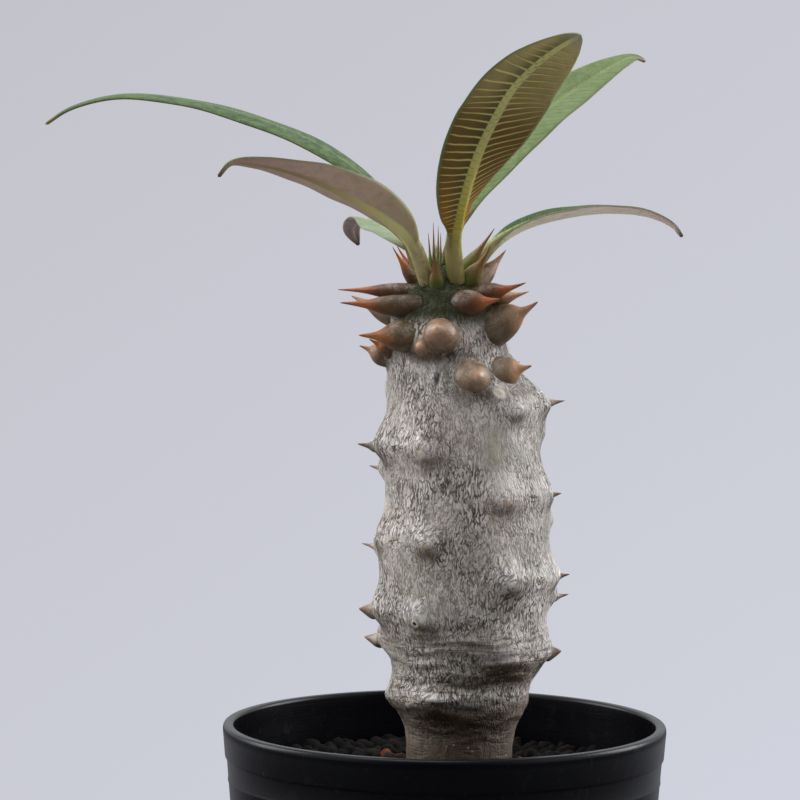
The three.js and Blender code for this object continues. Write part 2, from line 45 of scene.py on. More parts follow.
# Pot
POT_HEIGHT = 80
RIM_RADIUS = 45
WALL_TAPER = 0.0795
WALL = 1.6
RIM_WALL = 2.3
RIM_BAND = 6.3
BAND_STEP = 0.35
RING_BELOW_BAND = 5.2
POT_FLOOR = 2.4
RIM_ROUND = 0.8
FOOT_WIDTH = 3.4
FOOT_RECESS = 0.9
PAD_RADIUS = 12
DRAINS = 6
DRAIN_RADIUS = 3.4
DRAIN_CIRCLE = 23
POT_SIDES = 144
DRAIN_SIDES = 32
SHARP_ANGLE = 32
GAP = 0.3

# Soil
SOIL_TOP = 69.2
GRAIN_TOP = 71.6
GRAIN_SIZE = 4.3
GRAIN_SPACING = GRAIN_SIZE * 0.86
GRAIN_JITTER = 0.9
HOLE_RADIUS = 10.9
BED_SIDES = 72
BED_COLOUR = (28.6, 23.8, 22.0)
GRAIN_FORMS = 7
GRAIN_LAYERS = 2
ROW_SHARE = 0.866
RUST_REACH = 1.9
# Dark grit colours, darkened further as painted shade inside the pot.
EARTH_AND_SHADE_COLOURS = [(17, 14, 14), (13, 11, 12), (23, 18, 17), (10, 9, 10), (31, 25, 22)]
RUST_COLOURS = [(112, 62, 42), (98, 52, 36)]

# Where single rust-coloured grains lie, in plan
RUSTY_GRAINS = [(-12.4, 12.9), (-9.9, 16.6), (-8.0, 15.4), (-6.8, 19.1), (15.5, 15.4), (21.1, 16.6)]

# Stem outline from foot to growing tip: height, sideways drift of the middle, radius
STEM_OUTLINE = [
    (57.0, 2.9, 8.4), (61.0, 2.9, 10.2), (68.0, 2.9, 10.6), (76.5, 3.1, 10.9), (80.0, 3.3, 11.4),
    (82.6, 3.2, 13.0), (85.4, 3.2, 14.0), (88.0, 3.4, 13.4), (92.0, 4.0, 14.4), (97.0, 3.8, 15.6),
    (103.0, 3.8, 16.5), (109.0, 4.1, 17.2), (114.0, 3.5, 17.1), (120.0, 4.0, 16.7), (126.0, 3.8, 16.0),
    (132.0, 3.2, 15.8), (138.0, 2.9, 15.7), (143.0, 3.3, 15.5), (147.5, 2.8, 14.3), (152.0, 0.9, 12.8),
    (157.0, -0.3, 11.6), (162.0, -0.4, 10.6), (166.0, -0.5, 8.8), (168.6, -0.7, 6.8), (170.8, -0.9, 5.0),
    (172.6, -1.1, 2.8),
]
STEM_COLUMNS = 320
STEM_ROWS = 300
STEM_HIDDEN_ROWS = 6
STEM_SEEN_FROM = 68.5

# Leaf scars, each between two spines: height, azimuth, length of the clockwise and of the other spine,
# and the thickness of those spines
SCARS = [
    (136.6, 219, 3.0, 0.9, 2.6), (118.2, 218, 0.4, 0.9, 2.3), (103.2, 214, 2.4, 0.0, 3.6),
    (86.3, 219, 0.0, 0.0, 2.3), (145.2, 337, 0.0, 3.0, 2.3), (127.0, 322, 0.9, 1.5, 2.3),
    (110.6, 324, 0.9, 1.8, 2.3), (94.8, 328, 0.9, 2.0, 3.6), (139.0, 40, 0.0, 2.2, 2.3),
    (121.7, 38, 0.0, 2.6, 2.3), (105.4, 40, 2.6, 1.8, 2.3), (90.5, 42, 0.0, 1.8, 2.6),
    (147.2, 132, 2.6, 0.0, 2.3), (131.2, 130, 2.2, 2.4, 2.0), (115.1, 130, 2.4, 3.0, 2.0),
    (96.2, 137, 1.8, 3.0, 3.6),
]
SCAR_HALF_ANGLE = 26
SCAR_RIDGE = 0.9
TUBERCLE_RISE = 2.3
TUBERCLE_WIDTH = 4.2

# Thorned tubercles of the crown: height, azimuth, length, thickness, climb angle, sideways turn,
# upward bend, distance of the root from the stem's middle, and the colouring
CROWN = [
    (150.3, 285, 6.6, 7.6, 10, 0, 0.0, 10.6, "tan"),
    (151.0, 313, 9.4, 7.6, 7, 24, 1.0, 10.0, "grey"),
    (154.0, 184, 7.8, 5.0, 14, 0, 0.6, 10.8, "grey"),
    (155.0, 200, 7.0, 4.2, 20, -6, 0.6, 10.4, "umber"),
    (156.4, 247, 4.8, 4.6, 6, 0, 0.3, 10.0, "pink"),
    (158.0, 266, 8.2, 7.8, 16, -6, 0.6, 9.2, "pink"),
    (158.7, 236, 12.4, 6.4, -1, -46, 0.4, 9.4, "olive"),
    (159.4, 330, 14.0, 8.4, 17, 6, 2.4, 7.6, "grey"),
    (161.8, 160, 12.6, 5.6, 16, 0, 1.0, 8.6, "grey"),
    (164.4, 236, 17.2, 5.2, 2, -56, 0.2, 7.2, "umber"),
    (165.0, 286, 11.0, 6.0, 3, 38, 0.8, 6.8, "rust"),
    (165.4, 341, 10.6, 4.4, 6, 0, 1.2, 7.2, "pink"),
    (167.2, 212, 17.2, 3.8, 3, -32, -0.4, 5.2, "rust"),
    (166.6, 322, 14.4, 4.8, 4, 4, 2.0, 5.2, "rust"),
    (152.0, 28, 5.2, 6.0, 4, 0, 0.6, 10.6, "grey"),
    (152.8, 64, 7.4, 6.8, 8, 0, 0.6, 10.4, "tan"),
    (152.2, 108, 7.8, 6.6, 4, 0, 0.8, 10.4, "grey"),
    (154.4, 148, 7.0, 5.6, 10, 0, 0.6, 10.2, "tan"),
    (159.0, 14, 8.2, 6.4, 12, 0, 1.2, 8.4, "grey"),
    (159.4, 50, 10.0, 6.6, 12, 0, 1.2, 8.2, "olive"),
    (158.6, 86, 9.6, 6.8, 10, 0, 1.0, 8.2, "pink"),
    (159.2, 125, 10.2, 6.4, 12, 0, 1.2, 8.2, "olive"),
    (165.8, 28, 10.4, 4.6, 8, 0, 1.0, 6.0, "rust"),
    (165.4, 66, 12.0, 4.8, 12, 0, 1.2, 5.8, "umber"),
    (166.0, 104, 11.6, 4.6, 14, 0, 1.4, 5.8, "rust"),
    (165.2, 140, 11.4, 4.4, 8, 0, 0.8, 5.8, "rust"),
]
TIP_THORNS = [
    (168.0, 18, 10.8, 4.6, 42, 0, 0.8, 5.6, "pink"),
    (168.6, 350, 14.6, 3.0, 50, 0, 0.8, 1.4, "green"),
    (166.8, 322, 12.6, 4.4, 46, 0, 1.4, 3.6, "green"),
    (166.8, 196, 11.6, 3.0, 54, 0, 0.4, 4.6, "umber"),
    (167.4, 152, 11.4, 2.8, 52, 0, 0.4, 4.4, "rust"),
    (166.4, 254, 10.0, 3.6, 62, 0, 0.4, 4.7, "green"),
    (167.4, 100, 11.2, 3.0, 54, 0, 0.6, 4.2, "green"),
    (167.6, 44, 11.4, 3.0, 50, 0, 0.6, 4.2, "green"),
]

# Young thorns that stand round the growing point: place sideways and in depth, length, lean
YOUNG_THORNS = [
    (-3.3, -1.7, 8.4, -0.10), (-2.7, -0.6, 10.6, -0.04), (-1.9, 0.5, 9.8, -0.02), (-1.4, -1.3, 8.4, -0.03),
]
YOUNG_ROOT = 171.0
YOUNG_THICKNESS = 1.1

# The leaf bud among them: root, heading, length, thickness, bend
LEAF_BUD = ((-0.9, -2.2, 172.6), np.array([0.12, -0.05, 1.0]), 6.6, 1.3, 0.2)

# How deep the spines of the trunk start under the skin
SPINE_ROOT = 1.6

# Leaves: the midrib's line from foot to tip, which way the upper face looks at foot and tip, the blade's
# half width, how far out it is widest, how full its ends are, where it begins, how far its halves fold up
# at foot and tip, how much its edges wave, and the petiole's radius
COMMON_SHAPE = {"widest": 0.9, "fullness": 0.72}
LEAVES = {
    "leaf_1": {
        "line": [(1.8, -4.6, 169.0), (0.9, -8.0, 176.6), (1.7, -12.5, 181.4), (2.3, -18.8, 184.7),
                 (3.5, -26.2, 189.9), (5.6, -32.7, 196.3), (8.7, -37.7, 202.8), (11.8, -43.8, 207.7),
                 (16.7, -47.1, 212.4), (21.3, -51.0, 215.4), (23.4, -52.7, 216.3)],
        "face": ((-0.69, 0.62, 0.37), (-0.07, 0.72, 0.69)),
        "half_width": 8.4, "widest": 1.3, "fullness": 0.57, "blade_start": 0.11,
        "fold": (0.15, -0.3), "wave": 0.05, "stalk": 1.75,
    },
    "leaf_2": {
        "line": [(-4.0, -3.9, 168.6), (-7.0, -8.4, 176.6), (-12.6, -14.6, 181.8), (-19.4, -20.6, 186.0),
                 (-28.2, -26.6, 190.2), (-36.6, -31.0, 192.4), (-42.0, -33.4, 192.4),
                 (-44.4, -34.4, 189.8)],
        "face": ((0.35, 0.8, 0.45), (-0.1, 0.25, 1.0)),
        "half_width": 5.9, "blade_start": 0.14,
        "fold": (0.55, 0.06), "wave": 0.12, "stalk": 1.6,
    },
    "leaf_3": {
        "line": [(3.9, 1.0, 169.2), (8.2, 2.0, 176.0), (14.6, 3.6, 180.4), (23.4, 5.6, 183.0),
                 (32.6, 6.8, 184.0), (40.6, 7.4, 183.2), (45.6, 7.6, 181.0), (47.8, 7.8, 178.6)],
        "face": ((-0.5, -0.2, 0.85), (0.2, 0.06, 1.0)),
        "half_width": 4.9, "blade_start": 0.15,
        "fold": (0.28, 0.16), "wave": 0.1, "stalk": 1.35,
    },
    "leaf_4": {
        "line": [(-5.2, 0.6, 168.8), (-8.2, 2.4, 178.0), (-14.6, 4.6, 188.0), (-24.2, 7.4, 195.6),
                 (-39.4, 9.2, 202.2), (-54.6, 10.0, 205.9), (-67.1, 10.0, 206.6), (-77.0, 10.0, 204.0),
                 (-82.2, 10.0, 200.6)],
        "face": ((0.6, -0.3, 0.7), (0.0, -0.1, 1.0)),
        "half_width": 6.6, "blade_start": 0.13,
        "fold": (-0.1, -0.1), "wave": 0.12, "stalk": 1.35,
    },
    "leaf_5": {
        "line": [(-3.4, 4.2, 169.0), (-6.2, 9.2, 174.4), (-9.2, 17.0, 177.4), (-12.2, 27.0, 179.6),
                 (-14.8, 36.0, 181.1), (-18.4, 42.0, 181.2), (-20.0, 45.4, 179.4), (-18.6, 46.2, 175.9)],
        "face": ((0.2, -0.6, 0.75), (-0.3, 0.55, 0.7)),
        "half_width": 5.2, "blade_start": 0.2,
        "fold": (0.12, 0.12), "wave": 0.15, "stalk": 1.2,
    },
    "leaf_6": {
        "line": [(0.9, 4.8, 169.0), (0.9, 8.6, 176.4), (3.4, 15.0, 185.0), (9.2, 23.0, 193.4),
                 (15.8, 30.0, 200.7), (23.4, 37.0, 206.7), (31.0, 43.0, 211.8), (36.6, 47.0, 215.2),
                 (40.8, 50.0, 216.8), (43.2, 51.0, 216.0)],
        "face": ((-0.4, -0.65, 0.6), (-0.2, -0.45, 0.85)),
        "half_width": 8.3, "blade_start": 0.14,
        "fold": (0.14, 0.14), "wave": 0.12, "stalk": 1.3,
    },
}
LEAF_COLUMNS = 64
LEAF_ROWS = 180
BLADE_HALF_THICK = 0.35
RIB_DEPTH = 0.85
CHANNEL_DEPTH = 0.28

# How rough the clear coat over a finish is, where it has one
COAT_ROUGHNESS = 0.3


def srgb(red, green, blue):
    """A screen colour of 0 to 255 as the linear colour that a shader takes."""
    shares = [channel / 255 for channel in (red, green, blue)]
    return tuple(s / 12.92 if s <= 0.04045 else ((s + 0.055) / 1.055) ** 2.4 for s in shares) + (1.0,)


class Wire:
    """A shader socket that takes part in arithmetic."""

    def __init__(self, paint, socket):
        self.paint = paint
        self.socket = socket

    def maths(self, operation, *values):
        return self.paint.node("ShaderNodeMath", {"operation": operation}, dict(enumerate(values)))

    def __add__(self, other):
        return self.maths("ADD", self, other)

    __radd__ = __add__

    def __sub__(self, other):
        return self.maths("SUBTRACT", self, other)

    def __rsub__(self, other):
        return self.maths("SUBTRACT", other, self)

    def __mul__(self, other):
        return self.maths("MULTIPLY", self, other)

    __rmul__ = __mul__

    def __truediv__(self, other):
        return self.maths("DIVIDE", self, other)

    def __rtruediv__(self, other):
        return self.maths("DIVIDE", other, self)

    def size(self):
        return self.maths("ABSOLUTE", self)

    def fraction(self):
        return self.maths("FRACT", self)

    def over(self, other):
        return self.maths("GREATER_THAN", self, other)

    def upto(self, other):
        return self.maths("MINIMUM", self, other)

    def atleast(self, other):
        return self.maths("MAXIMUM", self, other)

    def ramp(self, low, high):
        """0 below low, 1 above high and a smooth rise between them. low may be the larger one."""
        if low > high:
            return 1 - self.ramp(high, low)
        settings = {"interpolation_type": "SMOOTHSTEP"}
        inputs = {"Value": self, "From Min": low, "From Max": high}
        return self.paint.node("ShaderNodeMapRange", settings, inputs)


class Graph:
    """A node tree written as expressions."""

    def __init__(self, tree):
        self.tree = tree

    def feed(self, made, inputs):
        """Links each input that is a wire, and sets the others."""
        for name, value in inputs.items():
            if isinstance(value, Wire):
                self.tree.links.new(value.socket, made.inputs[name])
            else:
                made.inputs[name].default_value = value

    def node(self, kind, settings=None, inputs=None, output=0):
        made = self.tree.nodes.new(kind)
        for name, value in (settings or {}).items():
            setattr(made, name, value)
        self.feed(made, inputs or {})
        return Wire(self, made.outputs[output])

    def vector(self, operation, *values, output=0):
        return self.node("ShaderNodeVectorMath", {"operation": operation}, dict(enumerate(values)), output)

    def attribute(self, name, output="Fac"):
        return self.node("ShaderNodeAttribute", {"attribute_name": name}, output=output)

    def place(self):
        """The point in the object's own frame, in millimetres."""
        point = self.node("ShaderNodeTexCoord", output="Object")
        return self.stretch(point, (1 / MM, 1 / MM, 1 / MM))

    def stretch(self, vector, factors):
        return self.vector("MULTIPLY", vector, factors)

    def shift(self, vector, other):
        return self.vector("ADD", vector, other)

    def parts(self, vector):
        return [self.node("ShaderNodeSeparateXYZ", {}, {0: vector}, output=k) for k in range(3)]

    def noise(self, vector, scale, detail=2.0, output="Fac", rough=0.5):
        inputs = {"Vector": vector, "Scale": scale, "Detail": detail, "Roughness": rough}
        return self.node("ShaderNodeTexNoise", {}, inputs, output=output)

    def cells(self, vector, feature="F1", scale=1.0):
        inputs = {"Vector": vector, "Scale": scale}
        return self.node("ShaderNodeTexVoronoi", {"feature": feature}, inputs, output="Distance")

    def near(self, place, centre, inner, outer):
        """1 within the inner distance of a point given in millimetres, and 0 beyond the outer one."""
        return self.vector("DISTANCE", place, centre, output="Value").ramp(outer, inner)

    def mix(self, factor, first, second):
        """Two colours, each a wire or a screen colour, mixed by factor."""
        pair = [colour if isinstance(colour, Wire) else srgb(*colour) for colour in (first, second)]
        return self.node("ShaderNodeMix", {"data_type": "RGBA"}, {0: factor, 6: pair[0], 7: pair[1]}, 2)

    def layers(self, colour, covers):
        """The colour under layers, each given by how much it covers and by its own colour."""
        for cover, tint in covers:
            colour = self.mix(cover, colour, tint)
        return colour


class Paint(Graph):
    """A procedural material for one finish of the plant or its pot."""

    def __init__(self, name):
        self.material = bpy.data.materials.new(name)
        self.material.use_nodes = True
        super().__init__(self.material.node_tree)
        self.shader = self.tree.nodes["Principled BSDF"]

    def finish(self, colour, roughness, height=None, coat=0.0, specular=0.5):
        """Joins colour, roughness, coat and relief to the shader. Height is in millimetres."""
        inputs = {"Base Color": colour, "Roughness": roughness, "Coat Weight": coat}
        inputs["Coat Roughness"] = COAT_ROUGHNESS
        inputs["Specular IOR Level"] = specular
        if height is not None:
            inputs["Normal"] = self.node("ShaderNodeBump", {}, {"Height": height, "Distance": MM})
        self.feed(self.shader, inputs)
        return self.material


def deselect_all():
    bpy.ops.object.select_all(action="DESELECT")


def named(name):
    piece = bpy.context.object
    piece.name = name
    piece.data.name = name
    return piece


def pick(piece):
    deselect_all()
    piece.select_set(True)
    bpy.context.view_layer.objects.active = piece


def points_of(piece):
    places = np.empty(len(piece.data.vertices) * 3)
    piece.data.vertices.foreach_get("co", places)
    return places.reshape(-1, 3)


def lay(piece, places):
    """Moves the piece's points to places given in millimetres."""
    piece.data.vertices.foreach_set("co", (places * MM).ravel())
    piece.data.update()


def net(name, columns, rows):
    """A flat net of facets that is then laid into shape, and each point's share of its width and height."""
    deselect_all()
    bpy.ops.mesh.primitive_grid_add(x_subdivisions=columns, y_subdivisions=rows, size=1)
    piece = named(name)
    flat = points_of(piece)
    return piece, flat[:, 0] + 0.5, flat[:, 1] + 0.5


def weld(piece):
    """Joins the points that lie on each other along a rolled net's seam and at its poles."""
    pick(piece)
    bpy.ops.object.mode_set(mode="EDIT")
    bpy.ops.mesh.select_all(action="SELECT")
    bpy.ops.mesh.remove_doubles(threshold=0.002 * MM)
    bpy.ops.mesh.normals_make_consistent(inside=False)
    bpy.ops.object.mode_set(mode="OBJECT")
    bpy.ops.object.shade_smooth()


def mark(piece, name, values, kind="FLOAT"):
    """Stores a value for each point, for the piece's finish to read."""
    layer = piece.data.attributes.new(name, kind, "POINT")
    key = {"FLOAT": "value", "FLOAT_VECTOR": "vector", "FLOAT_COLOR": "color"}[kind]
    layer.data.foreach_set(key, np.asarray(values, np.float32).ravel())


def tinted(piece, colour):
    """Gives every point of the piece one screen colour."""
    mark(piece, "tint", np.tile(srgb(*colour), (len(piece.data.vertices), 1)), "FLOAT_COLOR")


def copied(form, name, places):
    """A copy of a form with a mesh of its own, laid out at places given in millimetres."""
    piece = bpy.data.objects.new(name, form.data.copy())
    bpy.context.collection.objects.link(piece)
    lay(piece, places)
    return piece


def apply_all(piece):
    pick(piece)
    for modifier in list(piece.modifiers):
        bpy.ops.object.modifier_apply(modifier=modifier.name)


def joined(name, pieces):
    deselect_all()
    for piece in pieces:
        piece.select_set(True)
    bpy.context.view_layer.objects.active = pieces[0]
    bpy.ops.object.join()
    return named(name)


def dress(piece, material, slot_name, *nodes):
    """Gives a finished piece its material, hangs it on the root body and hides the imported parts that it
    stands for.
    """
    piece.data.materials.clear()
    piece.data.materials.append(material)
    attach(piece, "root")
    if nodes:
        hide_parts(*nodes)


def smooth(low, high, value):
    share = np.clip((value - low) / (high - low), 0, 1)
    return share * share * (3 - 2 * share)


def direction(azimuth, climb=0.0):
    turn = np.radians(azimuth)
    rise = np.radians(climb)
    level = np.cos(rise)
    return np.stack([np.cos(turn) * level, np.sin(turn) * level, np.sin(rise) + 0 * turn], axis=-1)


def across_from(heading):
    """The level direction and the upward one at right angles to a heading."""
    aside = np.cross(heading, (0, 0, 1))
    aside /= np.linalg.norm(aside)
    return aside, np.cross(aside, heading)


def turn_between(first, second):
    return (first - second + 540) % 360 - 180


def blob(across, up, width, height):
    return np.exp(-((across / width) ** 2) - (up / height) ** 2)


def lumps(places, size, seed):
    """Smooth random lumps of about the given size, from -1 to 1, at each place."""
    offset = Vector((seed * 7.3, seed * 3.1, seed * 5.7))
    return np.array([noise.noise(Vector(place) / size + offset) for place in places])


# Pot

def wall_radius(z):
    band_foot = POT_HEIGHT - RIM_BAND
    under_band = RIM_RADIUS - RIM_BAND * WALL_TAPER - BAND_STEP
    return under_band - (band_foot - z) * WALL_TAPER


def turned(name, outline, sides, unit=MM):
    """A turned piece: a ring is drawn up and resized from one point of the outline to the next."""
    deselect_all()
    radius, height = outline[0]
    bpy.ops.mesh.primitive_circle_add(vertices=sides, radius=radius * unit, location=(0, 0, height * unit))
    piece = named(name)
    bpy.ops.object.transform_apply(location=True, rotation=False, scale=False)
    bpy.ops.object.mode_set(mode="EDIT")
    bpy.ops.mesh.select_all(action="SELECT")
    bpy.ops.mesh.edge_face_add()
    bpy.ops.mesh.select_all(action="SELECT")
    for next_radius, next_height in outline[1:]:
        lift = {"value": (0, 0, (next_height - height) * unit)}
        bpy.ops.mesh.extrude_region_move(TRANSFORM_OT_translate=lift)
        share = next_radius / radius
        bpy.ops.transform.resize(value=(share, share, 1), center_override=(0, 0, next_height * unit))
        radius, height = next_radius, next_height
    bpy.ops.mesh.select_all(action="DESELECT")
    bpy.ops.mesh.select_non_manifold()
    bpy.ops.mesh.edge_face_add()
    bpy.ops.mesh.select_all(action="SELECT")
    bpy.ops.mesh.normals_make_consistent(inside=False)
    bpy.ops.object.mode_set(mode="OBJECT")
    return piece


def rounded(corner, start, end, steps=5):
    """Points on a round corner between two points of an outline."""
    points = []
    for k in range(steps + 1):
        t = k / steps
        a, b, c = (1 - t) ** 2, 2 * t * (1 - t), t * t
        points.append((a * start[0] + b * corner[0] + c * end[0], a * start[1] + b * corner[1] + c * end[1]))
    return points


def make_pot():
    foot = wall_radius(0)
    band_foot = POT_HEIGHT - RIM_BAND
    band_radius = RIM_RADIUS - RIM_BAND * WALL_TAPER
    inside = RIM_RADIUS - RIM_WALL
    top = POT_HEIGHT
    second_ring = band_foot - RING_BELOW_BAND
    outline = [(0.5, 0.0), (PAD_RADIUS, 0.0), (PAD_RADIUS + FOOT_RECESS, FOOT_RECESS)]
    outline += [(foot - FOOT_WIDTH - FOOT_RECESS, FOOT_RECESS), (foot - FOOT_WIDTH, 0.0)]
    outline += rounded((foot, 0.0), (foot - 0.8, 0.0), (wall_radius(0.8), 0.8))
    for z in (12, 24, 36, 48, 60, second_ring - 0.25):
        outline.append((wall_radius(z), z))
    outline.append((wall_radius(second_ring) + 0.12, second_ring))
    outline.append((wall_radius(second_ring) + 0.1, second_ring + 0.5))
    outline.append((wall_radius(second_ring + 0.8), second_ring + 0.8))
    outline.append((wall_radius(band_foot - 0.7), band_foot - 0.7))
    under_band = (wall_radius(band_foot - 0.5), band_foot - 0.5)
    outline += rounded((band_radius - 0.02, band_foot - 0.45), under_band, (band_radius, band_foot + 0.05))
    outline += [(band_radius + 0.2, band_foot + 2.6)]
    outside = (RIM_RADIUS - 0.1, top - RIM_ROUND - 0.6)
    outline += rounded((RIM_RADIUS, top), outside, (RIM_RADIUS - RIM_ROUND, top))
    outline += rounded((inside, top), (inside + RIM_ROUND, top), (inside, top - RIM_ROUND))
    outline += [(inside, top - 3.2), (wall_radius(band_foot) - WALL, band_foot)]
    for z in (60, 40, 20, POT_FLOOR + 1.4):
        outline.append((wall_radius(z) - WALL, z))
    outline += [(wall_radius(POT_FLOOR) - WALL - 1.4, POT_FLOOR), (0.5, POT_FLOOR)]
    pot = turned("nursery_pot", outline, POT_SIDES)
    drills = []
    size = {"radius": DRAIN_RADIUS * MM, "depth": 4 * POT_FLOOR * MM}
    for k in range(DRAINS):
        centre = (direction(360 * k / DRAINS) * DRAIN_CIRCLE + np.array([0, 0, POT_FLOOR])) * MM
        deselect_all()
        bpy.ops.mesh.primitive_cylinder_add(vertices=DRAIN_SIDES, location=tuple(centre), **size)
        drills.append(named(f"drain_{k}"))
    drill = joined("drains", drills)
    cut = pot.modifiers.new("drain_holes", "BOOLEAN")
    cut.object = drill
    cut.solver = "EXACT"
    apply_all(pot)
    bpy.data.objects.remove(drill)
    pick(pot)
    bpy.ops.object.shade_smooth_by_angle(angle=math.radians(SHARP_ANGLE))
    return pot


def pot_finish():
    paint = Paint("satin_black_plastic")
    place = paint.place()
    dust = paint.noise(place, 0.35, 4).ramp(0.55, 0.8)
    rings = paint.noise(paint.stretch(place, (0.05, 0.05, 3.0)), 1.0, 2)
    scuffs = paint.noise(paint.stretch(place, (0.5, 0.5, 2.6)), 1.4, 5, rough=0.7).ramp(0.62, 0.74)
    flecks = paint.cells(place, scale=0.42).ramp(0.15, 0.06)
    sparse = paint.noise(place, 0.16, 1).ramp(0.5, 0.62)
    _, _, height = paint.parts(place)
    near_rim = height.ramp(66.0, 79.0)
    radius = paint.vector("LENGTH", paint.stretch(place, (1.0, 1.0, 0.0)), output="Value")
    middle_of_wall = wall_radius(0) - 0.5 * WALL + WALL_TAPER * height
    outside = (radius - middle_of_wall).ramp(-0.2, 0.2) * height.ramp(POT_HEIGHT - 0.8, POT_HEIGHT - 2.4)
    colour = paint.mix(dust * 0.2, (7, 7, 12), (20, 21, 30))
    colour = paint.layers(colour, [
        (scuffs * near_rim * outside * 0.1, (52, 54, 66)),
        (flecks * sparse * outside * 0.3, (80, 80, 88)),
    ])
    roughness = 0.26 + 0.08 * dust + 0.1 * scuffs
    relief = 0.02 * rings + 0.012 * paint.noise(place, 2.4, 3)
    return paint.finish(colour, roughness, relief, coat=0.8 * outside, specular=0.18)


# Soil

def unit_grain(seed):
    """A lump of grit about one unit across."""
    deselect_all()
    bpy.ops.mesh.primitive_ico_sphere_add(subdivisions=2, radius=0.5)
    grain = named(f"grain_{seed}")
    places = points_of(grain)
    rough = lumps(places, 0.42, seed + 11)
    return grain, places * (1 + 0.34 * rough)[:, None]


def grain_places(draw):
    """Place and size of every grain of the soil's top, in staggered rows and two layers."""
    stem_x = STEM_OUTLINE[2][1]
    edge = wall_radius(GRAIN_TOP) - WALL - GAP
    row_step = GRAIN_SPACING * ROW_SHARE
    rows = int(2 * edge / row_step) + 1
    places = []
    for layer in range(GRAIN_LAYERS):
        for row in range(rows):
            for column in range(-rows, rows):
                x = (column + 0.5 * (row % 2) + 0.37 * layer) * GRAIN_SPACING
                x += draw.uniform(-GRAIN_JITTER, GRAIN_JITTER)
                y = (row - rows / 2) * row_step + draw.uniform(-GRAIN_JITTER, GRAIN_JITTER)
                size = GRAIN_SIZE * draw.choice((0.72, 0.86, 1.0, 1.0, 1.12))
                in_pot = math.hypot(x, y) + 0.52 * size < edge
                if in_pot and math.hypot(x - stem_x, y) > HOLE_RADIUS + 0.44 * size:
                    z = GRAIN_TOP - 0.5 * size - (0.2 if layer else 2.4) + draw.uniform(-0.5, 0.5)
                    places.append((x, y, z, size))
    return places


def make_soil():
    draw = random.Random(5)
    base = wall_radius(POT_FLOOR) - WALL - 2.0
    outline = [(0.5, POT_FLOOR + GAP), (base, POT_FLOOR + GAP)]
    for z in (6, 30, 55, SOIL_TOP - 1.5):
        outline.append((wall_radius(z) - WALL - GAP, z))
    outline.append((wall_radius(SOIL_TOP) - WALL - GAP - 1, SOIL_TOP))
    outline += [(HOLE_RADIUS + 4, SOIL_TOP), (0.5, SOIL_TOP)]
    bed = turned("soil_bed", outline, BED_SIDES)
    tinted(bed, BED_COLOUR)
    forms = [unit_grain(k) for k in range(GRAIN_FORMS)]
    grains = []
    for x, y, z, size in grain_places(draw):
        form, unit = forms[draw.randrange(len(forms))]
        axis = Vector((draw.random(), draw.random(), draw.random() + 0.1))
        turn = Matrix.Rotation(draw.uniform(0, 6.28), 3, axis)
        squash = np.array([draw.uniform(0.85, 1.12), draw.uniform(0.8, 1.05), draw.uniform(0.68, 0.92)])
        grain = copied(form, "grain", (unit * squash) @ np.array(turn) * size + np.array([x, y, z]))
        is_rust = min(math.hypot(x - a, y - b) for a, b in RUSTY_GRAINS) < RUST_REACH
        tinted(grain, draw.choice(RUST_COLOURS if is_rust else EARTH_AND_SHADE_COLOURS))
        grains.append(grain)
    for form, _ in forms:
        bpy.data.objects.remove(form)
    soil = joined("potting_grit", [bed] + grains)
    bpy.ops.object.shade_smooth()
    return soil


def soil_finish():
    paint = Paint("dry_grit")
    place = paint.place()
    tint = paint.attribute("tint", "Color")
    coarse = paint.noise(place, 0.9, 4, rough=0.65)
    colour = paint.layers(tint, [
        (coarse.ramp(0.35, 0.7) * 0.55, (18, 14, 12)),
        (paint.noise(place, 3.1, 3).ramp(0.6, 0.75) * 0.3, (64, 52, 44)),
    ])
    height = 0.5 * coarse + 0.16 * paint.noise(place, 4.0, 3)
    return paint.finish(colour, 0.95, height, specular=0.15)


# Stem

def stem_at(z):
    """The stem's middle and radius at a height, with the outline's corners eased."""
    heights, middles, radii = np.array(STEM_OUTLINE).T
    z = np.asarray(z, float)
    middle = 0.0
    radius = 0.0
    for shift, weight in ((-1.6, 0.17), (-0.8, 0.21), (0.0, 0.24), (0.8, 0.21), (1.6, 0.17)):
        middle = middle + weight * np.interp(z + shift, heights, middles)
        radius = radius + weight * np.interp(z + shift, heights, radii)
    return middle, radius


def swelling(across, up, width):
    """A bump that is steeper below than above."""
    return blob(across, up, width, width * np.where(up > 0, 1.15, 0.75))


def tubercles():
    """Height, azimuth, spine length and thickness of the two tubercles beside every leaf scar."""
    for height, azimuth, first, second, thickness in SCARS:
        yield height, azimuth - SCAR_HALF_ANGLE, first, thickness
        yield height, azimuth + SCAR_HALF_ANGLE, second, thickness


def emerges(height, azimuth, climb, turn, out):
    """Height and azimuth at which a crown thorn leaves the stem."""
    place = direction(azimuth) * out + np.array([0, 0, height])
    step = 0.5 * direction(azimuth + turn, climb)
    while math.hypot(place[0], place[1]) < float(stem_at(place[2])[1]):
        place = place + step
    return place[2], math.degrees(math.atan2(place[1], place[0]))


# Horizontal folds of the trunk's foot: height, azimuth, half angle, rise, half thickness, tilt
FOLDS = [
    (87.1, 262, 30, 0.5, 0.6, 0.002), (82.0, 315, 30, 0.42, 0.55, 0.01), (90.6, 318, 34, 0.42, 0.7, -0.02),
    (93.6, 232, 30, 0.4, 0.6, -0.012), (96.5, 262, 42, 0.38, 0.5, 0.008), (98.4, 286, 50, 0.34, 0.5, 0.006),
    (95.0, 300, 26, -0.3, 0.5, 0.0), (92.0, 274, 46, 0.3, 0.6, 0.012), (89.4, 250, 40, -0.4, 0.6, 0.0),
    (84.6, 262, 60, -0.35, 0.8, 0.004), (80.4, 250, 50, 0.3, 0.5, -0.01), (78.4, 300, 40, 0.24, 0.5, 0.014),
    (100.8, 262, 40, -0.24, 0.5, 0.004), (99.8, 232, 26, 0.3, 0.5, -0.01),
]

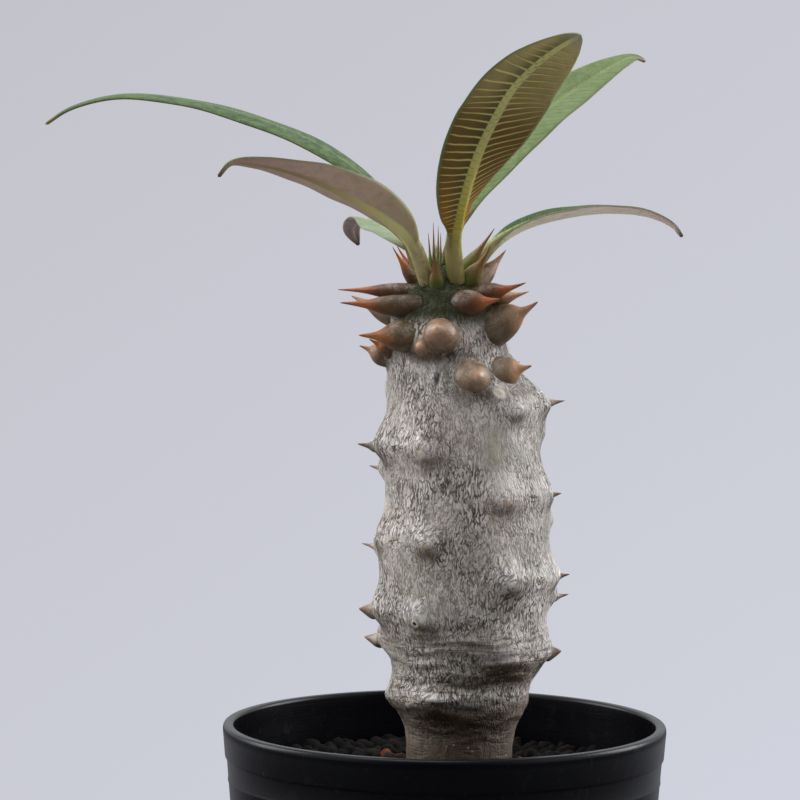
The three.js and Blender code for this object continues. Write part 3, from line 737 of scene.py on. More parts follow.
# Marks of old leaf bases, a lost spine and a smooth green streak: height and azimuth
STAR_SCAR = (148.0, 300.0)
SLIT_SCAR = (150.3, 253.5)
LOST_SPINE = (102.0, 236.0)
SMOOTH_STREAK = (137.5, 292.0)

# Worn tips of tubercles that bear no spine now: height, azimuth, radius, colour
WORN_TIPS = [
    (126.2, 296.0, 0.55, (178, 146, 116)), (117.6, 245.0, 0.5, (176, 148, 120)),
    (109.8, 305.0, 0.5, (172, 144, 118)), (95.1, 307.0, 0.55, (196, 188, 176)),
    (135.7, 242.0, 0.8, (196, 182, 160)), (148.0, 300.0, 1.25, (214, 204, 186)),
]

# Brown patches, and patches of painted highlight: height, azimuth, half width, half height, strength
BROWN_PATCHES = [
    (82.6, 268, 7.0, 1.5, 0.9), (79.6, 283, 10.0, 3.0, 0.9), (92.6, 300, 7.5, 2.0, 0.95),
    (91.0, 322, 4.4, 2.0, 0.7), (76.0, 262, 5.0, 1.6, 0.5), (84.0, 312, 6.0, 1.2, 0.6),
    (97.5, 278, 9.0, 1.4, 0.55), (89.6, 275, 9.0, 1.0, 0.6),
]
# The painted highlights lie on a fold at the front and down the lit sides of the trunk.
HIGHLIGHT_PATCHES = [
    (87.2, 262, 7.0, 0.8, 0.9), (145.0, 320, 7.0, 11.0, 0.5), (104.0, 335, 5.0, 8.0, 0.55),
    (120.0, 335, 5.0, 9.0, 0.3), (150.0, 236, 5.0, 8.0, 0.3),
]
SMALL_FOLDS = 46


class StemSkin:
    """The trunk's skin at points given by azimuth and height: its shape and what its bark shows there."""

    def __init__(self, azimuth, z):
        self.azimuth = azimuth
        self.z = z
        self.middle, self.radius = stem_at(z)
        self.arc = np.radians(self.radius)
        core = direction(azimuth) * self.radius[:, None]
        core[:, 0] += self.middle
        core[:, 2] = z
        self.core = core
        self.aside = direction(azimuth + 90)

    def beside(self, height, azimuth):
        """Distance round the trunk and up from a point of its skin."""
        return turn_between(self.azimuth, azimuth) * self.arc, self.z - height

    def main_form(self):
        """Swellings at the leaf scars and their spines."""
        swell = np.zeros_like(self.z)
        offset = SCAR_HALF_ANGLE * self.arc
        rise = TUBERCLE_RISE * 0.62
        for height, azimuth, first, second, thickness in SCARS:
            across, up = self.beside(height, azimuth)
            width = TUBERCLE_WIDTH * (0.78 + 0.05 * thickness)
            swell += SCAR_RIDGE * swelling(across / 2.4, up, width)
            swell += (rise + 0.3 * first) * swelling(across + offset, up, width)
            swell += (rise + 0.3 * second) * swelling(across - offset, up, width)
        swell = swell * smooth(79, 84, self.z) * (1 - smooth(164, 168, self.z))
        for height, azimuth, _, thickness, climb, turn, _, out, _ in CROWN:
            across, up = self.beside(*emerges(height, azimuth, climb, turn, out))
            swell += 0.9 * swelling(across, up, thickness * 0.62)
        return swell * (1 - smooth(167, 170, self.z))

    def fold(self, height, azimuth, spread, high, thick, tilt, waver, turns):
        """One fold that runs round part of the trunk, tilted and gently wavy."""
        turn = turn_between(self.azimuth, azimuth)
        wave = waver * np.sin(np.radians(turn) * turns + height)
        return high * blob(self.z - height - tilt * turn - wave, turn, thick, spread)

    def folds(self):
        """The large folds of the trunk's foot, and small ones at random."""
        rise = np.zeros_like(self.z)
        for row in FOLDS:
            rise += self.fold(*row, 0.5, 7)
        draw = random.Random(3)
        for _ in range(SMALL_FOLDS):
            height = draw.uniform(77, 101)
            azimuth = draw.uniform(0, 360)
            tilt = draw.uniform(-0.02, 0.02)
            spread = draw.uniform(12, 34)
            thick = draw.uniform(0.35, 0.6)
            rise += self.fold(height, azimuth, spread, draw.uniform(-0.26, 0.3), thick, tilt, 0.4, 6)
        return rise

    def in_slit(self):
        """Distance along and aside from the line of the slit scar."""
        across, up = self.beside(*SLIT_SCAR)
        return 0.45 * across + 0.9 * up, 0.9 * across - 0.45 * up

    def scar_relief(self):
        """Low craters of the leaf scars, and the marks that stand out singly."""
        relief = np.zeros_like(self.z)
        for height, azimuth, *_ in SCARS:
            across, up = self.beside(height - 0.6, azimuth)
            ring = np.hypot(across / 2.0, up / 1.2)
            relief += 0.12 * blob(ring - 1, 0, 0.35, 1) - 0.12 * blob(ring, 0, 0.6, 1)
        across, up = self.beside(*STAR_SCAR)
        ring = np.hypot(across / 2.0, up / 1.6) * (1 + 0.16 * np.cos(5 * np.arctan2(up, across) + 0.6))
        relief += 0.5 * (1 - smooth(0.7, 1.15, ring)) - 0.35 * blob(ring - 0.45, 0, 0.22, 1)
        along, aside = self.in_slit()
        relief += 0.45 * blob(along, np.abs(aside) - 0.8, 1.9, 0.35)
        return relief - 0.7 * blob(along, aside, 1.5, 0.45)

    def grain_place(self):
        """Where the bark's grain runs: straight up, and bent round each tubercle."""
        shift = np.zeros_like(self.z)
        bends = [(height, azimuth, 2.6, 4.0, 60) for height, azimuth, *_ in tubercles()]
        bends += [(height, azimuth, 6.0, 8.0, 90) for height, azimuth, *_ in CROWN[:6]]
        for height, azimuth, strength, core, fade in bends:
            across, up = self.beside(height, azimuth)
            reach = across**2 + up**2
            shift -= across * strength / (reach + core) * np.exp(-reach / fade)
        lean = 0.5 * np.sin(np.radians(self.azimuth * 2) + self.z / 9)
        return self.core + self.aside * (shift + lean)[:, None]

    def marks(self):
        """How much each point is brown or in painted shade, green or in painted olive shade, scarred, in a
        pit's painted shade, smooth, pale or in painted highlight, or part of the crown.
        """
        brown_and_shade, green, scar, shaded_pit, silk, pale_and_highlight = np.zeros((6, len(self.z)))
        for height, azimuth, *_ in tubercles():
            across, up = self.beside(height, azimuth)
            # Below each tubercle painted shade, brown and then olive green, and on its upper shoulder a
            # painted highlight.
            brown_and_shade += 0.8 * blob(across - 0.3, up + 2.5, 2.5, 1.2)
            green += 0.6 * blob(across, up + 3.9, 3.6, 2.0)
            silk += 0.35 * blob(across, up, 2.4, 2.2)
            pale_and_highlight += 0.85 * blob(across + 1.2, up - 1.6, 2.6, 1.9)
        for height, azimuth, *_ in SCARS:
            across, up = self.beside(height - 0.4, azimuth)
            scar += blob(across, up, 2.0, 1.15)
            # A painted highlight on the ridge above each leaf scar.
            pale_and_highlight += 0.45 * blob(across, up - 2.2, 4.2, 1.6)
        across, up = self.beside(*STAR_SCAR)
        pale_and_highlight += 1.4 * blob(across, up, 2.0, 1.5)
        silk += blob(across, up, 2.2, 1.7)
        along, aside = self.in_slit()
        pale_and_highlight += blob(along, np.abs(aside) - 0.85, 2.1, 0.4)
        # Painted shade inside the slit.
        shaded_pit += 0.75 * blob(along, aside, 1.4, 0.42)
        across, up = self.beside(*SMOOTH_STREAK)
        silk += 0.8 * blob(across, up, 2.6, 6.5)
        green += 0.7 * blob(across, up, 2.6, 6.0)
        # Brown patches, and the painted highlights of the highlight patches.
        for values, patches in ((brown_and_shade, BROWN_PATCHES), (pale_and_highlight, HIGHLIGHT_PATCHES)):
            for height, azimuth, wide, tall, much in patches:
                across, up = self.beside(height, azimuth)
                values += much * blob(across, up, wide, tall)
        for height, azimuth, _, thickness, climb, turn, _, out, _ in CROWN:
            across, up = self.beside(*emerges(height, azimuth, climb, turn, out))
            # Painted shade in the crevice under each crown thorn.
            brown_and_shade += 0.75 * blob(across, up + 0.45 * thickness, 0.7 * thickness, 0.24 * thickness)
        silk += 0.8 * (1 - smooth(76.5, 79.5, self.z))
        crown = smooth(160.0, 163.5, self.z)
        return {"brown_and_shade": brown_and_shade, "green": green, "scar": scar, "shaded_pit": shaded_pit, "silk": silk, "pale_and_highlight": pale_and_highlight,
                "crown": crown}

    def places(self):
        """The points of the skin, and the grain's places."""
        grain = self.grain_place()
        relief = self.main_form() + self.folds() + self.scar_relief() * smooth(80, 84, self.z)
        relief += 0.28 * lumps(self.core, 7.0, 1) + 0.12 * lumps(self.core, 2.4, 2)
        ridges = lumps(grain * np.array([1 / 0.95, 1 / 0.95, 1 / 2.6]), 1.0, 3)
        relief += 0.1 * ridges * (1 - smooth(168.5, 171.5, self.z))
        skin = direction(self.azimuth) * (self.radius + relief)[:, None]
        skin[:, 0] += self.middle
        skin[:, 2] = self.z
        return skin, grain


def skin_point(height, azimuth):
    """The point of the skin at one height and azimuth."""
    point = StemSkin(np.array([float(azimuth)]), np.array([float(height)])).places()[0][0]
    return tuple(float(value) for value in point)


def make_stem_skin():
    skin, around, up = net("trunk_bark", STEM_COLUMNS, STEM_ROWS)
    hidden = STEM_HIDDEN_ROWS / STEM_ROWS
    top = STEM_OUTLINE[-1][0]
    foot = STEM_OUTLINE[0][0]
    seen = STEM_SEEN_FROM + (top - STEM_SEEN_FROM) * (up - hidden) / (1 - hidden)
    z = np.where(up < hidden, foot + (STEM_SEEN_FROM - foot) * up / hidden, seen)
    form = StemSkin(around * 360, z)
    laid, grain = form.places()
    ends = (up <= 0) | (up >= 1)
    laid[ends, 0] = form.middle[ends]
    laid[ends, 1] = 0
    lay(skin, laid)
    for name, values in form.marks().items():
        mark(skin, name, np.clip(values, 0, 1.2))
    mark(skin, "grain_place", grain, "FLOAT_VECTOR")
    weld(skin)
    return skin


def bark_finish():
    paint = Paint("silvery_bark")
    place = paint.place()
    _, _, height = paint.parts(place)
    grain = paint.attribute("grain_place", "Vector")
    names = ("brown_and_shade", "green", "scar", "shaded_pit", "silk", "pale_and_highlight", "crown")
    brown_and_shade, green, scar, shaded_pit, silk, pale_and_highlight, crown = (paint.attribute(name) for name in names)
    rough = 1 - 0.8 * silk.upto(1.0)
    wander = paint.shift(paint.noise(grain, 0.32, 2, output="Color"), (-0.5, -0.5, -0.5))
    bent = paint.shift(grain, paint.stretch(wander, (1.7, 1.7, 0.8)))
    furrows = paint.noise(paint.stretch(bent, (1.0, 1.0, 0.27)), 1.55, 1)
    threads = paint.noise(paint.stretch(bent, (1.0, 1.0, 0.32)), 2.6, 1)
    mottle = paint.noise(grain, 0.42, 4, rough=0.6)
    fine = paint.noise(grain, 1.6, 4, rough=0.65)
    patchy = paint.noise(grain, 0.13, 3)
    patch = paint.noise(grain, 0.085, 2)
    broken = paint.noise(grain, 0.7, 2).ramp(0.3, 0.6)
    zone = 0.5 + 0.5 * paint.noise(grain, 0.11, 1).ramp(0.38, 0.58)
    fissure = (furrows - 0.5).size().ramp(0.095, 0.02) * (0.45 + 0.55 * broken) * zone * rough
    crack = (threads - 0.52).size().ramp(0.09, 0.02) * (0.35 + 0.35 * patchy.ramp(0.45, 0.62)) * rough
    plate = paint.cells(paint.stretch(bent, (1 / 0.92, 1 / 0.92, 1 / 3.1)))
    wrinkle = paint.noise(paint.stretch(grain, (0.16, 0.16, 1.5)), 1.0, 3).ramp(0.5, 0.66)
    wrinkle = wrinkle * height.ramp(103, 96)
    flaws = paint.cells(paint.stretch(bent, (1 / 1.3, 1 / 1.3, 1.0)), "DISTANCE_TO_EDGE").ramp(0.11, 0.02)
    dark_line = (fissure * (1 - 0.6 * scar.upto(1.0))).atleast(flaws * scar.ramp(0.35, 0.7))
    specks = paint.cells(grain, scale=0.55).ramp(0.15, 0.09) * patchy.ramp(0.5, 0.62)
    colour = paint.mix(mottle.ramp(0.3, 0.7), (184, 174, 165), (217, 209, 202))
    colour = paint.layers(colour, [
        (plate.ramp(0.2, 0.8) * 0.3, (160, 150, 139)),
        (patch.ramp(0.46, 0.3) * 0.45, (194, 172, 160)),
        (patch.ramp(0.52, 0.68) * 0.45, (134, 134, 116)),
        (fine.ramp(0.52, 0.7) * 0.25, (132, 122, 106)),
        # Pale: cream scars, and painted highlights on tubercles, scar ridges, a fold and the trunk's lit
        # sides.
        ((pale_and_highlight * (0.45 + 0.5 * mottle)).upto(0.85), (236, 231, 228)),
        # Green: greenish patches and a smooth streak, and painted olive shade below each tubercle.
        ((green * (0.3 + 0.6 * mottle)).upto(0.6), (130, 122, 94)),
        # Brown: the trunk's brown patches, and painted shade under tubercles and crown thorns.
        ((brown_and_shade * (0.3 + 1.2 * fine)).upto(0.9), (80, 56, 27)),
        (wrinkle * 0.6, (88, 66, 42)),
        (height.ramp(88.5, 83.0) * (0.4 + 0.6 * mottle), (74, 54, 33)),
        (height.ramp(79.0, 75.0) * 0.7, (72, 50, 33)),
        ((scar * 0.85).upto(0.85), (204, 194, 178)),
        (crack, (92, 79, 60)),
        (dark_line * 0.92, (56, 44, 29)),
        (specks * 0.4, (226, 222, 214)),
        (crown * (0.7 + 0.5 * mottle).upto(0.97), (40, 46, 10)),
    ])
    for tip_height, azimuth, radius, tint in WORN_TIPS:
        spot = paint.near(place, skin_point(tip_height, azimuth), radius * 0.7, radius * 1.5)
        colour = paint.mix(spot * 0.85, colour, tint)
    lost = skin_point(*LOST_SPINE)
    colour = paint.mix(paint.near(place, lost, 0.75, 1.0), colour, (206, 194, 172))
    hollow = paint.near(place, lost, 0.3, 0.5)
    pores = paint.cells(place, scale=0.85).ramp(0.24, 0.14) * scar.ramp(0.45, 0.75)
    shaded_pit = shaded_pit.upto(1.0).atleast(hollow).atleast(pores * 0.8)
    # Painted shade, near black, in the slit, in the lost spine's hole and in small holes of the leaf scars.
    colour = paint.mix(shaded_pit * 0.96, colour, (22, 17, 12))
    relief = 0.1 * mottle + 0.06 * fine - 0.22 * dark_line - 0.1 * crack - 0.08 * wrinkle - 0.3 * shaded_pit
    return paint.finish(colour, 0.52 + 0.16 * mottle + 0.3 * crown, relief, specular=0.45)


# Thorns

# Thickness along each kind of thorn, from foot to point
GIRTHS = {
    "stout": [(0.0, 0.86), (0.1, 0.96), (0.25, 1.0), (0.38, 0.95), (0.48, 0.82), (0.56, 0.62), (0.64, 0.42),
              (0.72, 0.28), (0.82, 0.18), (0.92, 0.1), (1.0, 0.03)],
    "squat": [(0.0, 0.9), (0.15, 1.0), (0.35, 0.98), (0.5, 0.86), (0.6, 0.66), (0.67, 0.42), (0.73, 0.24),
              (0.82, 0.15), (0.92, 0.09), (1.0, 0.03)],
    "egg": [(0.0, 0.9), (0.2, 1.0), (0.42, 0.96), (0.6, 0.84), (0.75, 0.64), (0.86, 0.42), (0.94, 0.22),
            (1.0, 0.05)],
    "slim": [(0.0, 1.0), (0.3, 0.9), (0.42, 0.62), (0.55, 0.4), (0.7, 0.28), (0.85, 0.18), (1.0, 0.03)],
    "cone": [(0.0, 1.0), (0.3, 0.92), (0.55, 0.7), (0.75, 0.42), (0.88, 0.22), (1.0, 0.04)],
}
THORN_SIDES = 14

# A thorn thicker than this share of its length is squat, and a spine thicker than this a cone
SQUAT_SHARE = 0.59
CONE_THICKNESS = 3.0

# Crown thorns whose spine is worn off, by their place in the list, how far along they end, and their spot
WORN_THORNS = (0, 4, 5)
WORN_SHARE = 0.58
WORN_SPOT = (196, 158, 128)

# Foot, body, shoulder, spine and point of each colouring, and how far along a thorn each of them lies
THORN_STOPS = [(0.02, 0), (0.2, 1), (0.34, 1), (0.54, 2), (0.7, 3), (0.88, 3), (1.0, 4)]
THORN_COLOURS = {
    "tan": ((164, 152, 138), (132, 108, 84), (146, 118, 90), (178, 140, 108), (186, 150, 120)),
    "grey": ((140, 130, 114), (112, 96, 74), (120, 94, 68), (164, 122, 90), (110, 84, 66)),
    "umber": ((60, 52, 28), (80, 58, 34), (100, 62, 32), (156, 88, 42), (64, 44, 34)),
    "pink": ((156, 144, 130), (136, 108, 84), (158, 120, 90), (180, 140, 110), (176, 136, 108)),
    "olive": ((76, 68, 38), (90, 72, 44), (108, 74, 40), (158, 94, 46), (120, 74, 48)),
    "rust": ((54, 46, 22), (80, 52, 28), (104, 60, 30), (162, 88, 40), (104, 62, 38)),
    "green": ((76, 110, 26), (92, 108, 34), (112, 92, 42), (124, 84, 46), (72, 46, 34)),
    "bark": ((190, 181, 173), (168, 154, 142), (150, 130, 112), (124, 100, 82), (96, 72, 56)),
    "bud": ((80, 92, 44), (92, 92, 54), (92, 64, 62), (84, 52, 58), (58, 38, 46)),
}


def thorn_form(name, girth):
    """One straight thorn of unit length and thickness, drawn out ring by ring, and its points."""
    form = turned(name, [(0.5 * share, along) for along, share in girth], THORN_SIDES, unit=1)
    easing = form.modifiers.new("easing", "SUBSURF")
    easing.levels = 1
    easing.render_levels = 1
    apply_all(form)
    bpy.ops.object.shade_smooth()
    return form, points_of(form)


def grown_thorn(form, root, heading, length, thickness, bend, colouring, draw, worn=False):
    """A copy of the thorn, set on its root, stretched, bent up and coloured from root to point."""
    base, unit = form
    aside, upright = across_from(heading)
    along = np.clip(unit[:, 2:3], 0, 1)
    turn = np.arctan2(unit[:, 1:2], unit[:, 0:1])
    girth = 1 + 0.07 * np.sin(turn * 2 + draw.uniform(0, 6)) * (1 - along)
    girth = thickness * (girth + 0.05 * np.sin(along * 9 + draw.uniform(0, 6)))
    places = np.asarray(root) + heading * (along * length) + upright * (bend * along**2)
    places = places + aside * (unit[:, 0:1] * girth) + upright * (unit[:, 1:2] * girth)
    thorn = copied(base, "thorn", places)
    along = along * (WORN_SHARE if worn else 1.0)
    stops = np.array([srgb(*THORN_COLOURS[colouring][k]) for _, k in THORN_STOPS])
    at = [share for share, _ in THORN_STOPS]
    tint = np.stack([np.interp(along[:, 0], at, stops[:, k]) for k in range(4)], axis=1)
    if worn:
        spot = smooth(0.5, 0.56, along)
        tint = tint * (1 - spot) + np.array(srgb(*WORN_SPOT)) * spot
    tint[:, :3] *= draw.uniform(1.0, 1.25)
    mark(thorn, "tint", tint, "FLOAT_COLOR")
    mark(thorn, "along", along[:, 0])
    # How much of the bloom, the painted highlight and the dark mottling a thorn's body takes: little on green
    # ones.
    mark(thorn, "bloom_and_highlight_share", np.full(len(tint), 0.15 if colouring in ("green", "bud") else 1.0))
    return thorn


def make_thorns():
    draw = random.Random(21)
    forms = {name: thorn_form(name + "_thorn", girth) for name, girth in GIRTHS.items()}
    thorns = []
    for k, thorn in enumerate(CROWN + TIP_THORNS):
        height, azimuth, length, thickness, climb, turn, bend, out, colouring = thorn
        form = forms["squat" if thickness > SQUAT_SHARE * length else "stout"]
        if k in WORN_THORNS:
            form = forms["egg"]
        root = direction(azimuth) * out + np.array([stem_at(height)[0], 0, height])
        heading = direction(azimuth + turn, climb)
        measures = (root, heading, length, thickness, bend, colouring)
        thorns.append(grown_thorn(form, *measures, draw, worn=k in WORN_THORNS))
    for x, y, length, lean in YOUNG_THORNS:
        heading = np.array([lean, -0.02, 1.0])
        heading /= np.linalg.norm(heading)
        measures = ((x, y, YOUNG_ROOT), heading, length, YOUNG_THICKNESS, 0.1)
        thorns.append(grown_thorn(forms["slim"], *measures, "green", draw))
    thorns.append(grown_thorn(forms["stout"], *LEAF_BUD, "bud", draw))
    for height, turn, length, thickness in tubercles():
        if length > 1:
            skin = StemSkin(np.array([float(turn)]), np.array([height]))
            reach = skin.radius[0] + skin.main_form()[0] - SPINE_ROOT
            root = direction(turn) * reach + np.array([skin.middle[0], 0, height - 0.3])
            form = forms["cone" if thickness > CONE_THICKNESS else "slim"]
            spine = (root, direction(turn, 4), length + SPINE_ROOT, thickness, 0.3)
            thorns.append(grown_thorn(form, *spine, "bark", draw))
    for form, _ in forms.values():
        bpy.data.objects.remove(form)
    return joined("thorns_and_spines", thorns)


def thorn_finish():
    paint = Paint("thorn_skin")
    place = paint.place()
    tint = paint.attribute("tint", "Color")
    along = paint.attribute("along")
    mottle = paint.noise(place, 0.55, 4, rough=0.62)
    fine = paint.noise(place, 2.2, 4, rough=0.7)
    streak = paint.noise(paint.stretch(place, (1.0, 1.0, 2.6)), 1.3, 3)
    normal = paint.node("ShaderNodeNewGeometry", output="Normal")
    _, _, upward = paint.parts(normal)
    # Painted shade on the downward-facing sides of each thorn's body.
    under = upward.ramp(0.1, -0.8) * along.ramp(0.75, 0.45)
    body = along.ramp(0.66, 0.4) * paint.attribute("bloom_and_highlight_share")
    # Wax bloom in patches, brighter on the upward-facing sides as a painted highlight.
    bloom_and_highlight = (upward.ramp(-0.2, 0.9) * 0.8 + 0.1) * body * (mottle + 0.5 * fine).ramp(0.78, 0.6)
    colour = paint.layers(tint, [
        (mottle.ramp(0.42, 0.68) * (0.12 + 0.4 * body), (70, 52, 34)),
        (under * 0.45, (58, 48, 28)),
        (bloom_and_highlight * 0.55, (182, 170, 156)),
        (fine.ramp(0.55, 0.7) * 0.4 * body, (84, 66, 46)),
    ])
    relief = 0.14 * mottle + 0.09 * fine + 0.06 * streak
    return paint.finish(colour, 0.24 + 0.18 * mottle, relief, specular=0.6)


# Hairs of the growing tip and of the crevices under the crown thorns

HAIR_COUNT = 1500
HAIR_THICKNESS = 0.11
HAIR_ROOT = 0.15
HAIR_OUTLINE = [(0.5, 0.0), (0.42, 0.34), (0.25, 0.7), (0.05, 1.0)]

# Where they grow: heights, lengths, climb angles and colours
TIP_HAIRS = ((160.5, 171.5), (0.9, 1.9), (10, 70), [(80, 84, 32), (60, 66, 22), (104, 100, 50), (48, 54, 18)])
CREVICE_HAIRS = ((152.0, 162.0), (0.7, 1.7), (-40, 50), [(158, 150, 134), (118, 108, 88), (80, 78, 48)])


def make_hairs():
    draw = random.Random(31)
    form = turned("hair_form", HAIR_OUTLINE, 3, unit=1)
    unit = points_of(form)
    along = unit[:, 2:3]
    hairs = []
    for k in range(HAIR_COUNT):
        heights, lengths, climbs, colours = TIP_HAIRS if k % 4 else CREVICE_HAIRS
        z = draw.uniform(*heights)
        azimuth = draw.uniform(0, 360)
        length = draw.uniform(*lengths)
        climb = draw.uniform(*climbs)
        colour = draw.choice(colours)
        middle, radius = stem_at(z)
        root = direction(azimuth) * (radius - HAIR_ROOT) + np.array([float(middle), 0, z])
        heading = direction(azimuth + draw.uniform(-50, 50), climb)
        aside, upright = across_from(heading)
        places = root + heading * along * length + upright * (draw.uniform(-0.5, 0.5) * along**2)
        places = places + (aside * unit[:, 0:1] + upright * unit[:, 1:2]) * HAIR_THICKNESS
        hair = copied(form, "hair", places)
        tinted(hair, colour)
        hairs.append(hair)
    bpy.data.objects.remove(form)
    return joined("crown_hairs", hairs)


def hair_finish():
    paint = Paint("short_hairs")
    tint = paint.attribute("tint", "Color")
    return paint.finish(tint, 0.6, specular=0.3)


# Leaves

def leaf_line(points, samples=400):
    """Evenly spaced points along a smooth line through the given ones, and its length."""
    points = np.array(points, float)
    points = np.vstack([2 * points[0] - points[1], points, 2 * points[-1] - points[-2]])
    fine = []
    for k in range(len(points) - 3):
        p0, p1, p2, p3 = points[k:k + 4]
        t0, t1, t2 = (max(np.linalg.norm(b - a) ** 0.5, 1e-4) for a, b in ((p0, p1), (p1, p2), (p2, p3)))
        m1 = ((p1 - p0) / t0 - (p2 - p0) / (t0 + t1) + (p2 - p1) / t1) * t1
        m2 = ((p2 - p1) / t1 - (p3 - p1) / (t1 + t2) + (p3 - p2) / t2) * t1
        t = np.linspace(0, 1, 60, endpoint=(k == len(points) - 4))[:, None]
        fine.append((2 * t**3 - 3 * t**2 + 1) * p1 + (t**3 - 2 * t**2 + t) * m1
                    + (3 * t**2 - 2 * t**3) * p2 + (t**3 - t**2) * m2)
    fine = np.vstack(fine)
    steps = np.concatenate([[0], np.cumsum(np.linalg.norm(np.diff(fine, axis=0), axis=1))])
    even = np.linspace(0, steps[-1], samples)
    return np.stack([np.interp(even, steps, fine[:, k]) for k in range(3)], axis=1), steps[-1]


def unit_rows(vectors):
    return vectors / np.linalg.norm(vectors, axis=1, keepdims=True)


def make_leaf(name, leaf):
    """A leaf rolled from one net round the midrib's line, its upper face and its underside in one."""
    blade, around, along = net(name + "_blade", LEAF_COLUMNS, LEAF_ROWS)
    line, length = leaf_line(leaf["line"])
    shares = np.linspace(0, 1, len(line))
    ahead = unit_rows(np.gradient(line, axis=0))
    place = np.stack([np.interp(along, shares, line[:, k]) for k in range(3)], axis=1)
    ahead = unit_rows(np.stack([np.interp(along, shares, ahead[:, k]) for k in range(3)], axis=1))
    foot, tip = (np.array(v) for v in leaf["face"])
    weight = smooth(0, 0.9, along)[:, None]
    hint = unit_rows(foot * (1 - weight) + tip * weight)
    face = unit_rows(hint - ahead * np.sum(hint * ahead, axis=1, keepdims=True))
    across = np.cross(face, ahead)
    start = leaf["blade_start"]
    share = smooth(start * 0.75, start * 1.9, along)
    fold = leaf["fold"][0] + (leaf["fold"][1] - leaf["fold"][0]) * smooth(0.2, 0.9, along)
    part = np.clip((along - start) / (1 - start), 0, 1)
    lance = np.sin(np.pi * part ** leaf["widest"]) ** leaf["fullness"]
    stalk = leaf["stalk"]
    width = np.maximum(leaf["half_width"] * lance, stalk * (1 - smooth(0.6, 1.0, along)))
    width = np.maximum(width, 0.45)
    rib = np.minimum(stalk * (1 - 0.72 * along), 0.7 * width)
    turn = around * 2
    upper_side = turn <= 1
    step = np.where(upper_side, 2 * turn - 1, 3 - 2 * turn)
    reach = np.sign(step) * np.abs(step) ** 1.45
    u = reach * width
    petiole = stalk * np.sqrt(np.clip(1 - reach**2, 0, 1))
    rounding = np.sqrt(np.clip(1 - reach**6, 0, 1))
    ridge = RIB_DEPTH * (1 - along) ** 0.6 * np.clip(1 - (u / rib) ** 2, 0, 1)
    channel = CHANNEL_DEPTH * np.exp(-((u / 0.8) ** 2)) * (1 - along) ** 0.4
    edge = np.abs(u) / leaf["half_width"]
    ripple = leaf["wave"] * edge**2 * np.sin(along * 31 + np.where(u > 0, 0, 1.7))
    lift = share * (fold * np.abs(u) + ripple)
    top = lift + (1 - share) * petiole + share * (BLADE_HALF_THICK * rounding - channel)
    bottom = lift - (1 - share) * petiole - share * (BLADE_HALF_THICK * rounding + ridge)
    ends = (along <= 0) | (along >= 1)
    v = np.where(ends, lift, np.where(upper_side, top, bottom))
    u = np.where(ends, 0, u)
    lay(blade, place + across * u[:, None] + face * v[:, None])
    side = np.where(upper_side, 1.0, 0.0)
    side = np.where(np.abs(reach) > 0.985, 0.5, side)
    marks = {"side": side, "along": along, "edge": np.abs(reach), "rib": rib, "blade": share}
    for key, values in marks.items():
        mark(blade, key, values)
    layer = blade.data.uv_layers.active
    corners = np.empty(len(blade.data.loops), np.int64)
    blade.data.loops.foreach_get("vertex_index", corners)
    flat = np.stack([reach * width, along * length], axis=1)
    layer.data.foreach_set("uv", flat[corners].astype(np.float32).ravel())
    weld(blade)
    return blade


def leaf_finish(name, look):
    """Waxy leaf: its upper face, its underside from foot to tip, its veins and its midrib."""
    paint = Paint(name)
    place = paint.place()
    flat = paint.node("ShaderNodeUVMap")
    aside, ahead, _ = paint.parts(flat)
    names = ("side", "along", "edge", "rib", "blade")
    side, along, edge, rib, blade = (paint.attribute(key) for key in names)
    away = aside.size()
    right = aside.over(0.0)
    waver = paint.noise(place, 0.16, 2) - 0.5
    left_foot, left_tip, right_foot, right_tip = look["vein_slopes"]
    on_left = left_foot + (left_tip - left_foot) * along
    on_right = right_foot + (right_tip - right_foot) * along
    slope = on_left + (on_right - on_left) * right
    count = (ahead - slope * away) / look["vein_spacing"] + 0.47 * right + 0.5 * waver
    to_vein = (count.fraction() - 0.5).size()
    thin = look["vein_width"] * (1 - 0.5 * edge)
    vein = (1 - to_vein / thin).atleast(0.0).upto(1.0) * edge.ramp(0.99, 0.8)
    vein = vein * along.ramp(0.97, 0.85) * blade
    midrib = 1 - (away / rib).ramp(0.75, 1.05)
    mottle = paint.noise(place, 0.55, 4, rough=0.6)
    streaks = paint.noise(place, 0.09, 2)
    above = paint.mix(mottle.ramp(0.3, 0.75), look["upper"], look["bloom"])
    above = paint.layers(above, [
        (streaks.ramp(0.4, 0.7) * 0.5, look["bloom"]),
        (vein * look["veins_above"], (168, 190, 140)),
        (midrib * look["rib_above"], (176, 190, 132)),
    ])
    foot, middle, end = look["under"]
    # A painted shadow down the left side of the midrib.
    left_band = (away - rib).ramp(3.4, 0.2) * (1 - right)
    left_edge, right_edge = look["margins"]
    margin = edge.ramp(0.9, 0.985) * (left_edge + (right_edge - left_edge) * right)
    below = paint.layers(paint.mix(along.ramp(0.12, 0.5), foot, middle), [
        (along.ramp(0.56, 0.97), end),
        (mottle.ramp(0.35, 0.8) * 0.24, (66, 52, 32)),
        (left_band * look["band"], (76, 70, 34)),
        (vein * look["veins_below"], look["vein"]),
        (midrib, paint.mix(along.ramp(0.15, 0.8), *look["rib"])),
        (margin, (100, 116, 62)),
    ])
    colour = paint.layers(below, [
        (side, above),
        (1 - blade, paint.mix(mottle.ramp(0.4, 0.75) * 0.6, look["stalk"], (114, 98, 46))),
        (along.ramp(0.95, 0.995) * 0.85, look["tip"]),
    ])
    relief = vein * (0.24 * look["veins_below"] - 0.3 * side)
    relief = relief + 0.04 * mottle + 0.05 * paint.noise(place, 1.7, 3)
    return paint.finish(colour, 0.46 + 0.1 * mottle, relief, specular=0.25)


